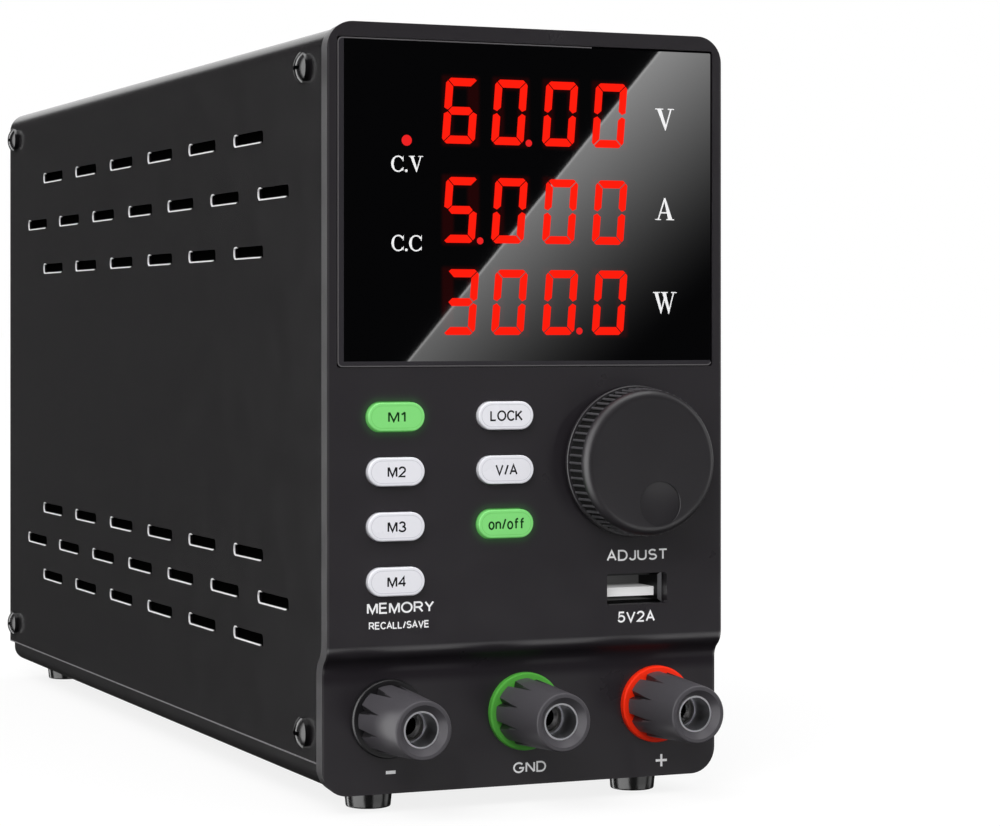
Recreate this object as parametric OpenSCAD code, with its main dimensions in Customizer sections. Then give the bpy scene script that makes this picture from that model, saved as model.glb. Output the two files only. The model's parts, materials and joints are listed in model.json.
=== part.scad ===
// Programmable bench power supply, upright case with a step above its terminals.
// Sizes in the sections below are taken from the underside and the front face of the front bezel.
// The model's origin is on the standing surface, under the middle of the whole supply.

/* [Case] */
// Width of the front bezel
case_w = 88; // [87:1:96]
// Height of the front bezel
case_h = 155; // [152:1:168]
// Depth from the bezel's front face to the cover's rear edge
case_d = 264; // [255:1:300]
// Corner radius of the bezel
corner_r = 5.5; // [5:0.5:8]
// Thickness of the folded steel
sheet_t = 1; // [0.8:0.1:1.2]
// How far the bezel stands proud of the cover all round
rim_proud = 0.7; // [0.5:0.1:1]
// Height of the cover's lower edge, where the tray shows under it
seam_z = 6; // [5.5:0.5:7]
// Height of the tray's side flanges
tray_side_h = 18; // [17:1:24]
// Depth of the flanges round the rear panel
rear_flange = 12; // [11:1:16]
// How far the rear panel is set in from the cover's edge
panel_inset = 1; // [0.5:0.5:3]
// Gap between nested sheets
sheet_fit = 0.05; // [0.05:0.01:0.1]

/* [Front bezel] */
// Wall behind the front face
bezel_wall = 2.4; // [2:0.1:3]
// Depth of the rim seen from the side
rim_d = 4.3; // [3.8:0.1:6]
// How far the terminal face is set back
step_d = 3; // [2:0.5:4]
// Height of the curved step
step_h = 6; // [4.5:0.5:6]
// Height where the curved step starts
step_z = 24.3; // [24:0.1:25]
// Wall of the spigot that enters the cover
spigot_t = 1.8; // [1.5:0.1:2.2]
// Depth at which the spigot ends
spigot_end = 10.4; // [9:0.2:11]

/* [Display] */
// Border beside the display window
window_side = 2.2; // [2:0.1:4]
// Gap between the top row of keys and the window
window_gap = 7.1; // [6.5:0.1:9]
// Thickness of the display window
window_t = 1.5; // [1.2:0.1:1.8]
// Corner radius of the display window
window_r = 0.6; // [0.6:0.1:3]
// Bevel round the window's front edge
window_bevel = 0.3; // [0.2:0.1:0.5]
// Border above the window
window_top = 3.2; // [3:0.1:5]
// Ledge that the window is glued to
window_ledge = 2; // [1.5:0.5:3]
// Width of a four-digit module
module_w = 46.8; // [44:0.2:50]
// Gap between neighbouring digit modules
module_gap = 1.2; // [0.8:0.1:2]
// Middle of the digit modules across the window
module_x = 1.45; // [-2:0.05:3]
// Voltage row above the window's middle, as a share of the window's height
volt_share = 0.29; // [0.285:0.005:0.3]
// Current row below the window's middle, as a share of the window's height
amp_share = 0.015; // [0.01:0.005:0.02]
// Power row below the window's middle, as a share of the window's height
watt_share = 0.299; // [0.295:0.001:0.305]
// Distance of the mode lamps from the digit modules
lamp_side = 5.2; // [4:0.1:7]
// How far the upper mode lamp lies below the middle of the voltage row
lamp_drop = 6.2; // [5.5:0.1:7]
// Diameter of a mode lamp
lamp_dia = 3; // [2:0.5:4]
// Height between the two mode lamps
lamp_pitch = 16; // [14:0.5:18]

/* [Keys] */
// Width of a key
key_w = 12.2; // [11:0.2:13]
// Height of a key
key_h = 5.8; // [5:0.2:6.6]
// Height of the keys above the front face
key_proud = 1.2; // [0.8:0.1:2]
// Gap round a key
key_gap = 0.2; // [0.15:0.05:0.3]
// Travel of a key
key_travel = 0.5; // [0.3:0.1:0.6]
// Width of the flange that keeps a key in its hole
key_flange = 1; // [0.8:0.1:1.2]
// Height of the lowest key row
key_row_z = 43; // [43:0.5:44]
// Height between key rows
key_pitch = 11; // [10.5:0.1:11.2]
// Distance of the memory keys' middle from the bezel's left side
memory_side = 14.4; // [14:0.1:16]
// Column of the lock, display and output keys
control_x = -5.7; // [-6:0.1:-4]
// Diameter of a key's plunger
plunger_dia = 3.5; // [3:0.1:4]
// Width of a tact switch
tact_w = 6.2; // [5.8:0.2:6.6]
// Depth of a tact switch
tact_h = 3.5; // [3:0.1:4]

/* [Adjusting knob] */
// Distance of the knob's axis from the bezel's right side
knob_side = 20.8; // [20:0.1:22]
// Height of the knob
knob_z = 66.2; // [66:0.1:67.5]
// Diameter of the knob's base flange
knob_dia = 31.4; // [28:0.2:32]
// How far the knob's face stands from the bezel
knob_reach = 9.2; // [9:0.1:14]
// Gap under the knob
knob_gap = 0.9; // [0.7:0.1:1.2]
// Number of flutes round the knob
knob_flutes = 60; // [40:1:72]
// Diameter of the encoder's shaft
shaft_dia = 6; // [5.5:0.1:6.2]
// Diameter of the encoder's threaded bush
bush_dia = 7.8; // [7.6:0.1:9]
// Depth of the encoder's case
encoder_t = 6.5; // [6:0.1:7]
// Push travel of the knob
push_travel = 0.5; // [0.3:0.1:0.5]
// Radial clearance of a turning or sliding fit
run_fit = 0.05; // [0.02:0.01:0.08]

/* [USB socket] */
// Distance of the socket's middle from the bezel's right side
usb_side = 19.6; // [18:0.1:22]
// Height of the socket
usb_z = 39.7; // [39:0.1:40.5]
// Width of the metal shell
usb_w = 13.1; // [12.9:0.1:13.3]
// Height of the metal shell
usb_h = 5.7; // [5.6:0.1:5.9]
// Length of the metal shell
usb_len = 14; // [12:0.5:18]
// How far the shell's mouth flares on each side
usb_flare = 0.6; // [0.4:0.1:0.8]
// How far the opening in the front wall clears the shell on each side
usb_clear = 0.35; // [0.2:0.05:0.4]

/* [Binding posts] */
// Distance of the outer posts from the bezel's sides
post_side = 14; // [14:0.5:16]
// Height of the posts
post_z = 15.2; // [14:0.2:15.4]
// How far a post's cap stands from the terminal face
post_len = 20; // [19:0.5:26]
// Diameter of the coloured base ring
ring_dia = 16; // [15.5:0.1:17]
// Thickness of the coloured base ring
ring_t = 1.5; // [1.2:0.1:3]
// Diameter of the stud's thread
stud_dia = 6; // [5.5:0.1:6.2]
// Bore of the plug socket in the stud
socket_dia = 4; // [3.9:0.1:4.2]
// Depth of the plug socket
socket_len = 16; // [12:1:18]
// How far the stud's end lies behind the cap's face
stud_recess = 9; // [7:0.5:9]
// Diameter of the cap at its base
cap_base_dia = 13.8; // [13:0.2:15]
// Diameter of the cap at its face
cap_face_dia = 11.8; // [11:0.2:12.6]
// Outer diameter of the metal sleeve in the cap
sleeve_dia = 7.4; // [7.2:0.1:8.4]
// Wall of the metal sleeve at its mouth
sleeve_wall = 0.35; // [0.3:0.05:0.4]
// Number of finger notches round the cap
cap_notches = 9; // [8:1:12]
// Width of a finger notch at the cap's base
notch_w = 2.5; // [2:0.1:3]
// Depth of a finger notch at the cap's base
notch_depth = 1.2; // [0.8:0.1:1.3]
// Length over which a finger notch runs out
notch_len = 9.5; // [8:0.5:11]

/* [Fan] */
// Width of the fan frame
fan_w = 60; // [60:1:64]
// Depth of the fan frame
fan_t = 20; // [20:1:25]
// Distance of the fan's screw holes from the sides of its frame
fan_hole_side = 5; // [4.5:0.1:5.2]
// Wall of the fan frame beside its duct
fan_wall = 1.3; // [1.2:0.1:2]
// Distance of the fan's axis under the bezel's top
fan_top = 43; // [41:1:46]
// Number of fan blades
fan_blades = 7; // [5:1:9]

/* [Mains inlet] */
// Distance of the inlet's middle from the bezel's right side
inlet_side = 27; // [24:0.5:28]
// Height of the inlet's middle
inlet_z = 42; // [38:0.5:50]
// Width of the cavity that takes the connector
socket_w = 24.4; // [24:0.1:24.8]
// Height of the cavity that takes the connector
socket_h = 16.4; // [16:0.1:16.8]
// Width of the inlet's rim beside the cavity
inlet_rim = 3.3; // [3:0.1:4]
// Thickness of the inlet's flange
inlet_flange = 2; // [1.5:0.1:2.5]
// Travel of the fuse drawer
drawer_travel = 16; // [15.5:0.5:17]

/* [Mains switch and selector] */
// Distance of the switch and the selector from the bezel's left side
switch_side = 22; // [21:0.5:24]
// Height of the mains switch
switch_z = 54; // [52:0.5:60]
// Swing of the mains rocker from on to off
rocker_swing = 22; // [16:1:24]
// Height of the voltage selector
selector_z = 30; // [26:0.5:31]
// Travel of the voltage selector
selector_travel = 5; // [4:0.5:5.5]

/* [Cover screws and vents] */
// Diameter of the cover screws' thread
screw_dia = 3; // [2.5:0.5:3.5]
// Diameter of a cover screw's head
head_dia = 6.4; // [6:0.2:7]
// Height of a cover screw's head
head_h = 2.1; // [1.8:0.1:2.4]
// Length of a cover screw under its head
screw_len = 8; // [6:0.5:9]
// Distance of the front screws from the bezel's face
screw_front = 15.5; // [15.5:0.1:16]
// Distance of the rear screws from the cover's rear edge
screw_rear = 6; // [6:0.5:8]
// Height of the lower screws
screw_low = 11.5; // [11.5:0.1:12.5]
// Distance of the upper screws under the bezel's top
screw_top = 8.3; // [8:0.1:10]
// Length of a vent slot
vent_len = 20; // [16:1:22]
// Height of a vent slot
vent_h = 3.3; // [3:0.1:4.5]
// Number of slots in a long row
vent_count = 7; // [6:1:8]
// Distance of the top row of slots under the bezel's top
vent_top = 20.9; // [18:0.1:24]
// Height of the lowest row of the lower slots
vent_lower = 27.3; // [25:0.1:30]
// Height between rows of the upper slots
vent_upper_row = 12.2; // [11:0.1:13]
// Height between rows of the lower slots
vent_lower_row = 9; // [8:0.1:11]

/* [Feet] */
// Diameter of a foot
foot_dia = 10.2; // [9:0.2:14]
// Height of the feet under the bezel
foot_h = 4; // [3.5:0.5:8]
// Distance of the feet from the middle line
foot_x = 30; // [26:0.5:32]
// Gap between the bezel's rim and the front feet
foot_front = 1.6; // [1:0.1:12]
// Gap between the rear feet and the cover's rear edge
foot_rear = 4.9; // [4:0.1:16]

/* [Hidden] */
$fn = 48;
far = 400;
cut = 1;
// Depth by which joined shapes run into each other, and gap between pieces that touch
lap = 0.5;
seat = 0.02;

// Case sheets: outer and inner sizes of the cover, the tray inside it and the bezel's spigot
cover_w = case_w - 2 * rim_proud;
cover_h = case_h - 2 * rim_proud;
cover_r = corner_r - rim_proud;
cover_in_w = cover_w - 2 * sheet_t;
tray_w = cover_in_w - 2 * sheet_fit;
tray_h = cover_h - sheet_t - sheet_fit;
tray_r = cover_r - sheet_t;
tray_in_w = tray_w - 2 * sheet_t;
spigot_w = tray_in_w - 4 * sheet_fit;
spigot_h = tray_h - 2 * sheet_t - 4 * sheet_fit;
mid_z = case_h / 2;
tray_z = rim_proud + tray_h / 2;
edge_gap = 0.2;
rear_y = case_d - panel_inset;
floor_z = rim_proud + sheet_t;

// Places across the front and the rear, from the nearest side
left_x = -case_w / 2;
right_x = case_w / 2;
memory_x = left_x + memory_side;
knob_x = right_x - knob_side;
usb_x = right_x - usb_side;
post_pitch = right_x - post_side;
inlet_x = right_x - inlet_side;
switch_x = left_x + switch_side;

// Window and what is read through it
window_low = key_z(3) + key_h / 2 + window_gap;
window_w = case_w - 2 * window_side;
window_h = case_h - window_top - window_low;
window_z = window_low + window_h / 2;
volt_row = volt_share * window_h;
amp_row = amp_share * window_h;
watt_row = watt_share * window_h;
module_h = watt_row - amp_row - module_gap;
lamp_x = module_x - module_w / 2 - lamp_side;

// Binding posts and knob, whose faces set how far the supply reaches forward
front_reach = max(post_len - step_d, knob_reach);
terminal_y = step_d;
sleeve_bore = sleeve_dia - 2 * sleeve_wall;
cap_gap = 0.1;
collar_t = 0.9;
ring_edge = 0.3;
collar_dia = 9.8;
mouth = 0.6;
washer_t = 0.8;
seat_gap = 0.05;
press_gap = 0.02;
sleeve_sunk = 1.5;
sleeve_start = ring_t + collar_t + washer_t + 3 * seat_gap;
stud_end = post_len - stud_recess;
stud_tail = 14;
lug_t = 0.6;
nut_t = 3;
nut_dia = 11.5;

// Rocker of the mains switch, whose raised end sets how far the supply reaches back
switch_flange_w = 15;
switch_flange_h = 21;
switch_flange_t = 1.8;
switch_body_w = 12.8;
switch_body_h = 18.8;
switch_wall = 0.9;
switch_depth = 15;
rocker_half = switch_body_h / 2 - switch_wall - 0.15;
rocker_w = switch_body_w - 2 * switch_wall - 0.3;
rocker_top = 5;
rocker_pin_dia = 2.4;
rocker_pin_len = 0.7;
rocker_tip = (rocker_half - rocker_top * sin(rocker_swing / 2)) * cos(rocker_swing / 2);
pivot_y = rear_y + switch_flange_t + 0.4 - rocker_top;
rocker_reach = pivot_y + rocker_top * cos(rocker_swing / 2) + 2 * rocker_tip * sin(rocker_swing / 2);
drawer_lip = 1.6;
drawer_w = socket_w - 2.4;
drawer_h = 9;
drawer_gap = 0.2;
drawer_hold = 8;
drawer_len = drawer_travel + drawer_hold;
rear_reach = max(case_d, rocker_reach, rear_y + inlet_flange + drawer_lip);
front_y = (front_reach - rear_reach) / 2;

// Front board and what stands on it
board_t = 1.6;
board_y = bezel_wall + 8.1;
board_back = board_y + board_t;
board_w = spigot_w - 2 * spigot_t - 0.9;
board_low = 33.5;
board_high = tray_z + spigot_h / 2 - spigot_t - 0.9;
notch_x = usb_x - usb_w / 2 - 4.85;
notch_z = usb_z + 8.4;
encoder_y = board_y - encoder_t;
boss_dia = 4.6;
boss_x = board_w / 2 - boss_dia / 2;
boss_high = window_low - boss_dia / 2 - 0.5;
boss_low = board_low + boss_dia / 2 + 0.5;
boss_mid_x = notch_x - boss_dia / 2 - 2.2;
board_bosses = [[-boss_x, boss_high], [boss_x, boss_high], [-boss_x, boss_low], [boss_mid_x, boss_low]];
pad_dia = 16;
small_screw = 2.6;
small_head = 5;
small_head_h = 1.9;
small_len = 6;
thread_gap = 0.05;
seat_y = bezel_wall + seat_gap;
flange_t = 1;
hole_gap = 0.15;
end_gap = 0.1;
tact_base = 0.8;
usb_board_w = 20;
usb_board_len = 24;
usb_board_z = usb_z - usb_h / 2 - board_t - seat;
spigot_key_dia = 9.6;

// Main board inside the tray
main_z = 9;
main_side = 3.25;
main_w = tray_in_w - 2 * main_side;
main_front = 42;
main_rear = case_d - 42;
main_top = main_z + board_t;
main_boss_in = 5;
main_boss_dia = 6;
main_boss_x = main_w / 2 - 4;
main_boss_ys = [main_front + main_boss_in, main_rear - main_boss_in];

module in_case() {
    translate([0, front_y, foot_h])
        children();
}

// Flat shapes drawn in x and z, given a thickness from y0 backwards
module plate_y(y0, t) {
    translate([0, y0 + t, 0])
        rotate([90, 0, 0])
            linear_extrude(t)
                children();
}

// Flat shapes drawn in y and z, given a width across the case
module across_x(w) {
    translate([-w / 2, 0, 0])
        rotate([90, 0, 90])
            linear_extrude(w)
                children();
}

module rod_y(d, y0, y1, d_end = undef) {
    translate([0, y0, 0])
        rotate([-90, 0, 0])
            cylinder(d1 = d, d2 = is_undef(d_end) ? d : d_end, h = y1 - y0);
}

module rod_x(d, x0, x1) {
    translate([x0, 0, 0])
        rotate([0, 90, 0])
            cylinder(d = d, h = x1 - x0);
}

// Revolves a profile drawn in radius and distance, so that distance runs along y
module turned_y() {
    rotate([-90, 0, 0])
        rotate_extrude($fn = 96)
            children();
}

module round_rect(w, h, r) {
    square([w, h - 2 * r], center = true);
    square([w - 2 * r, h], center = true);
    for (sx = [-1, 1], sz = [-1, 1])
        translate([sx * (w / 2 - r), sz * (h / 2 - r)])
            circle(r);
}

module pill(w, h) {
    square([w - h, h], center = true);
    for (s = [-1, 1])
        translate([s * (w - h) / 2, 0])
            circle(d = h);
}

module four(x, z) {
    for (sx = [-1, 1], sz = [-1, 1])
        translate([sx * x, 0, sz * z])
            children();
}

// Everything behind the stepped front, moved back by dy: two arcs make the step's S
module behind_step(dy) {
    step_r = (step_h * step_h + step_d * step_d) / (4 * step_d);
    translate([dy, 0]) {
        translate([0, step_z + step_h])
            square([far, far]);
        intersection() {
            union() {
                translate([step_r, step_z + step_h])
                    circle(step_r);
                translate([step_r, step_z])
                    square([far - step_r, step_h]);
            }
            translate([0, step_z + step_h / 2])
                square([far, step_h / 2]);
        }
        difference() {
            translate([step_d / 2, step_z])
                square([far - step_d / 2, step_h / 2]);
            translate([step_d - step_r, step_z])
                circle(step_r);
        }
        translate([step_d, -far])
            square([far - step_d, far + step_z]);
    }
}

function key_z(row) = key_row_z + row * key_pitch;

key_places = concat(
    [for (row = [0 : 3]) [memory_x, key_z(row)]],
    [for (row = [1 : 3]) [control_x, key_z(row)]]);

ear_t = 2.6;
ear_h = 11;

module cover_screw_places() {
    for (y = [screw_front, case_d - screw_rear], z = [screw_low, case_h - screw_top])
        translate([0, y, z])
            children();
}

// Lug and boss that take a cover screw, inside the case wall at x
module screw_ear(x, z) {
    start_y = terminal_y + bezel_wall - 0.5;
    intersection() {
        translate([0, 0, z])
            for (s = [0, 1])
                mirror([s, 0, 0]) {
                    translate([x - ear_t, start_y, -ear_h / 2])
                        cube([ear_t, screw_front + 5 - start_y, ear_h]);
                    translate([0, screw_front, 0])
                        rod_x(screw_dia + 3.2, x - screw_len, x - 1);
                }
        translate([0, 0, tray_z])
            plate_y(0, far)
                round_rect(2 * x, tray_h - 0.1, tray_r);
    }
}

module front_bezel() {
    color("#2c2b2e")
    in_case()
    difference() {
        union() {
            intersection() {
                translate([0, 0, mid_z])
                    plate_y(0, rim_d + step_d)
                        round_rect(case_w, case_h, corner_r);
                across_x(case_w + cut)
                    difference() {
                        behind_step(0);
                        behind_step(rim_d);
                    }
            }
            intersection() {
                translate([0, 0, tray_z])
                    plate_y(0, spigot_end)
                        round_rect(spigot_w, spigot_h, tray_r - sheet_t);
                across_x(case_w)
                    behind_step(bezel_wall - 0.5);
            }
        }
        difference() {
            intersection() {
                translate([0, 0, tray_z])
                    plate_y(0, far)
                        round_rect(spigot_w - 2 * spigot_t, spigot_h - 2 * spigot_t, tray_r - sheet_t - 1);
                across_x(case_w)
                    behind_step(bezel_wall);
            }
            bezel_bosses();
        }
        bezel_openings();
    }
    color("#2c2b2e")
    in_case()
    bezel_ears();
}

// What stands on the back of the bezel's wall: board bosses, encoder pad, shelf of the socket board
module bezel_bosses() {
    shelf_w = 2;
    shelf_h = 4;
    for (p = board_bosses)
        translate([p[0], 0, p[1]])
            rod_y(boss_dia, 0, board_y);
    translate([knob_x, 0, knob_z])
        rod_y(pad_dia, 0, encoder_y);
    for (s = [-1, 1])
        translate([usb_x + s * (usb_board_w / 2 - 2.5) - shelf_w / 2, 0, usb_board_z - seat - shelf_h])
            cube([shelf_w, usb_board_len, shelf_h]);
}

module bezel_ears() {
    difference() {
        union() {
            screw_ear(tray_w / 2, case_h - screw_top);
            screw_ear(spigot_w / 2, screw_low);
        }
        for (z = [screw_low, case_h - screw_top])
            translate([0, screw_front, z])
                rod_x(screw_dia + 2 * thread_gap, -case_w, case_w);
    }
}

module bezel_openings() {
    translate([0, 0, window_z]) {
        plate_y(-cut, cut + window_t + seat_gap)
            round_rect(window_w + 2 * hole_gap, window_h + 2 * hole_gap, window_r);
        plate_y(-cut, far)
            round_rect(window_w - 2 * window_ledge, window_h - 2 * window_ledge, window_r);
    }
    for (p = key_places)
        translate([p[0], 0, p[1]])
            plate_y(-cut, 2 * bezel_wall)
                pill(key_w + 2 * key_gap, key_h + 2 * key_gap);
    translate([knob_x, 0, knob_z])
        rod_y(bush_dia + 2 * hole_gap, -cut, far);
    translate([usb_x, 0, usb_z])
        plate_y(-cut, 2 * bezel_wall)
            round_rect(usb_w + 2 * usb_clear, usb_h + 2 * usb_clear, 0.5);
    post_places()
        plate_y(0, 4 * bezel_wall)
            post_key(spigot_key_dia + 0.2);
    for (p = board_bosses)
        translate([p[0], 0, p[1]])
            rod_y(small_screw + 2 * thread_gap, bezel_wall, far);
}

module display_window() {
    color("#060607")
    in_case()
    translate([0, 0, window_z])
        hull() {
            plate_y(seat_gap + window_bevel, window_t - window_bevel)
                round_rect(window_w, window_h, window_r, $fn = 32);
            plate_y(seat_gap, 0.1)
                round_rect(window_w - 2 * window_bevel, window_h - 2 * window_bevel,
                    window_r - window_bevel, $fn = 32);
        }
}

module cover_shell() {
    color("#2a282b")
    in_case()
    difference() {
        intersection() {
            plate_y(0, case_d)
                difference() {
                    translate([0, mid_z])
                        round_rect(cover_w, cover_h, cover_r);
                    translate([0, mid_z])
                        round_rect(cover_in_w, cover_h - 2 * sheet_t, cover_r - sheet_t);
                    translate([-case_w, seam_z - far])
                        square([2 * case_w, far]);
                }
            across_x(case_w)
                behind_step(rim_d + edge_gap);
        }
        vent_rows(case_h - vent_top - 2 * vent_upper_row, vent_upper_row);
        vent_rows(vent_lower, vent_lower_row);
        cover_screw_places()
            rod_x(screw_dia + 0.4, -case_w, case_w);
    }
}

// Three rows of slots: the middle row has one more, half a pitch out
module vent_rows(z0, row_h) {
    vent_pitch = case_d / (vent_count + 1);
    first = (case_d + rim_d - (vent_count - 1) * vent_pitch) / 2;
    for (row = [0 : 2])
        for (i = [0 : row == 1 ? vent_count - 1 : vent_count - 2])
            translate([0, first + (i + (row == 1 ? 0 : 0.5)) * vent_pitch, z0 + row * row_h])
                across_x(case_w + 10)
                    round_rect(vent_len, vent_h, 1);
}

module tray_outline() {
    translate([0, tray_z])
        round_rect(tray_w, tray_h, tray_r);
}

module tray_ring() {
    difference() {
        tray_outline();
        translate([0, tray_z])
            round_rect(tray_in_w, tray_h - 2 * sheet_t, tray_r - sheet_t);
    }
}

module chassis_tray() {
    color("#2f2d30")
    in_case()
    difference() {
        union() {
            plate_y(rim_d + step_d + edge_gap, rear_y - rim_d - step_d - edge_gap)
                intersection() {
                    tray_ring();
                    translate([-case_w, 0])
                        square([2 * case_w, tray_side_h]);
                }
            plate_y(rear_y - rear_flange, rear_flange)
                tray_ring();
            plate_y(rear_y - sheet_t, sheet_t)
                tray_outline();
            main_boss_places()
                cylinder(d = main_boss_dia, h = main_z - floor_z + lap);
        }
        main_boss_places()
            cylinder(d = small_screw + 2 * thread_gap, h = far, center = true);
        foot_places()
            cylinder(d = foot_neck + 0.2, h = 10, center = true);
        cover_screw_places()
            rod_x(screw_dia + 2 * thread_gap, -case_w, case_w);
        panel_openings();
    }
}

module main_boss_places() {
    for (sx = [-1, 1], y = main_boss_ys)
        translate([sx * main_boss_x, y, floor_z - lap])
            children();
}

module panel_openings() {
    fan_grille();
    translate([0, 0, fan_z])
        four(fan_pitch / 2, fan_pitch / 2)
            rod_y(fan_screw_dia + 0.6, rear_y - 5, rear_y + cut);
    translate([inlet_x, 0, inlet_z])
        plate_y(rear_y - 5, 10)
            square([inlet_w - 2 * inlet_lip + 0.4, inlet_h - 2 * inlet_lip + 0.4], center = true);
    translate([switch_x, 0, switch_z])
        plate_y(rear_y - 5, 10)
            square([switch_body_w + 0.2, switch_body_h + 0.2], center = true);
    translate([switch_x, 0, selector_z])
        plate_y(rear_y - 5, 10)
            square([selector_body_w + 0.2, selector_body_h + 0.2], center = true);
}

// Rings of slots in front of the fan, held by four spokes and a middle disc
module fan_grille() {
    ring_step = fan_w / 10;
    slot_w = 0.7 * ring_step;
    spoke_w = 2.6;
    translate([0, 0, fan_z])
        difference() {
            for (k = [1 : 4])
                difference() {
                    rod_y(2 * ring_step * (k + 2 / 3), rear_y - 5, rear_y + cut);
                    rod_y(2 * (ring_step * (k + 2 / 3) - slot_w), rear_y - 6, rear_y + 2 * cut);
                }
            for (a = [45, 135])
                rotate([0, a, 0])
                    translate([-fan_w, rear_y - 6, -spoke_w / 2])
                        cube([2 * fan_w, 10, spoke_w]);
        }
}

// Push-in feet: neck through the tray's hole and a barb above it, clear of the bezel's spigot
foot_neck = 4.8;
barb_dia = 6.2;
barb_h = 2.4;
barb_gap = 0.5;
foot_dimple = 4.2;
dimple_h = 1.4;
foot_front_y = max(rim_d + step_d + foot_front + foot_dia / 2, spigot_end + barb_gap + barb_dia / 2);
foot_rear_y = case_d - foot_rear - foot_dia / 2;

module foot_places() {
    for (sx = [-1, 1], y = [foot_front_y, foot_rear_y])
        translate([sx * foot_x, y, rim_proud])
            children();
}

module rubber_feet() {
    color("#1b1b1c")
    in_case()
    foot_places()
        difference() {
            union() {
                translate([0, 0, -foot_h - rim_proud])
                    cylinder(d1 = foot_dia - 1, d2 = foot_dia, h = foot_h + rim_proud);
                cylinder(d = foot_neck, h = sheet_t + 0.1);
                translate([0, 0, sheet_t + seat_gap])
                    cylinder(d1 = barb_dia, d2 = foot_neck - 0.4, h = barb_h);
            }
            translate([0, 0, -foot_h - rim_proud - cut])
                cylinder(d = foot_dimple, h = cut + dimple_h);
        }
}

// Pan head with a cross recess, pointing along x from the head's seat
module pan_screw_x(dia, head, height, len) {
    dome = head * 0.75;
    difference() {
        rotate([0, 90, 0])
            rotate_extrude()
                union() {
                    translate([0, -len])
                        square([dia / 2, len + 0.1]);
                    intersection() {
                        square([head / 2, height]);
                        translate([0, height - dome])
                            circle(dome, $fn = 96);
                    }
                }
        for (a = [0, 90])
            rotate([a, 0, 0])
                translate([height, 0, 0])
                    cube([2.4, head * 0.55, 0.8], center = true);
    }
}

module cover_screws() {
    color("#1d1d1f")
    in_case()
    cover_screw_places()
        for (s = [0, 1])
            mirror([s, 0, 0])
                translate([cover_w / 2 + seat, 0, 0])
                    pan_screw_x(screw_dia, head_dia, head_h, screw_len);
}

module board_screws() {
    color("#c8c8cc")
    in_case() {
        for (p = board_bosses)
            translate([p[0], board_back + seat, p[1]])
                rotate([0, 0, 90])
                    pan_screw_x(small_screw, small_head, small_head_h, small_len);
        for (sx = [-1, 1], y = main_boss_ys)
            translate([sx * main_boss_x, y, main_top + seat])
                rotate([0, -90, 0])
                    pan_screw_x(small_screw, small_head, small_head_h, small_len);
    }
}

module front_board() {
    color("#1c5a38")
    in_case()
    plate_y(board_y, board_t)
        difference() {
            translate([-board_w / 2, board_low])
                square([board_w, board_high - board_low]);
            translate([notch_x, 0])
                square([case_w, notch_z]);
            for (p = board_bosses)
                translate(p)
                    circle(d = small_screw + 0.4);
        }
}

// Four-digit module: a case with the eight-shaped segment slots sunk into its face
module digit_module(z) {
    face_y = bezel_wall + 0.3;
    slot_d = 0.4;
    color("#b9b9b4")
    in_case()
    translate([module_x, 0, window_z + z])
        difference() {
            plate_y(face_y, board_y - face_y)
                square([module_w, module_h], center = true);
            for (i = [-1.5 : 1.5])
                translate([i * module_w / 4.15, 0, 0])
                    plate_y(face_y - cut, cut + slot_d)
                        digit_segments();
        }
}

// The slots of one digit: its upright ones stand apart from the level ones
module digit_segments() {
    digit_h = 0.69 * module_h;
    digit_w = 0.154 * module_w;
    seg_w = 1.4;
    seg_gap = 0.3;
    lean = 0.08;
    for (z = [-1, 0, 1] * digit_h / 2)
        translate([z * lean, z])
            square([digit_w - seg_w - 2 * seg_gap, seg_w], center = true);
    for (sx = [-1, 1], z = [-1, 1] * digit_h / 4)
        translate([sx * digit_w / 2 + z * lean, z])
            square([seg_w, digit_h / 2 - seg_w - 2 * seg_gap + 0.4], center = true);
}

module voltage_digits() {
    digit_module(volt_row);
}

module current_digits() {
    digit_module(-amp_row);
}

module power_digits() {
    digit_module(-watt_row);
}

module mode_lamps() {
    color("#d8502c")
    in_case()
    for (i = [0, 1])
        translate([lamp_x, 0, window_z + volt_row - lamp_drop - i * lamp_pitch]) {
            rod_y(lamp_dia, seat_y + lamp_dia / 2, board_y);
            rod_y(lamp_dia + 0.8, board_y - flange_t, board_y);
            translate([0, seat_y + lamp_dia / 2, 0])
                sphere(d = lamp_dia);
        }
}

module tact_switches() {
    color("#3a3a3d")
    in_case()
    for (p = key_places)
        translate([p[0], 0, p[1]])
            difference() {
                plate_y(board_y - tact_h, tact_h)
                    round_rect(tact_w, tact_w, 0.6);
                rod_y(plunger_dia + 2 * run_fit, board_y - tact_h - cut, board_y - tact_base);
            }
}

// A key with the flange that holds it behind the wall and the plunger it presses
module key_cap(place) {
    color("#e9e9ee")
    in_case()
    translate([place[0], 0, place[1]]) {
        plate_y(-key_proud, key_proud + seat_y + flange_t)
            pill(key_w, key_h);
        plate_y(seat_y, flange_t)
            pill(key_w + 2 * key_flange, key_h + 2 * key_flange);
        rod_y(plunger_dia, seat_y + lap, board_y - tact_base - key_travel - end_gap);
    }
}

module key_m4() {
    key_cap(key_places[0]);
}

module key_m3() {
    key_cap(key_places[1]);
}

module key_m2() {
    key_cap(key_places[2]);
}

module key_m1() {
    key_cap(key_places[3]);
}

module key_output() {
    key_cap(key_places[4]);
}

module key_display() {
    key_cap(key_places[5]);
}

module key_lock() {
    key_cap(key_places[6]);
}

// Encoder: case and threaded bush, with a round chamber for the shaft's collar and the plunger
bush_end = -3.4;
chamber_dia = 8.4;
chamber_y = encoder_y + 1;
chamber_end = board_y - 0.4;
collar_y = chamber_y + end_gap;
collar_d = 1;
plunger_t = 1.4;
plunger_y = chamber_end - push_travel - end_gap - plunger_t;
shaft_flat = 1.5;
shaft_end = 2 - knob_reach;

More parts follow.
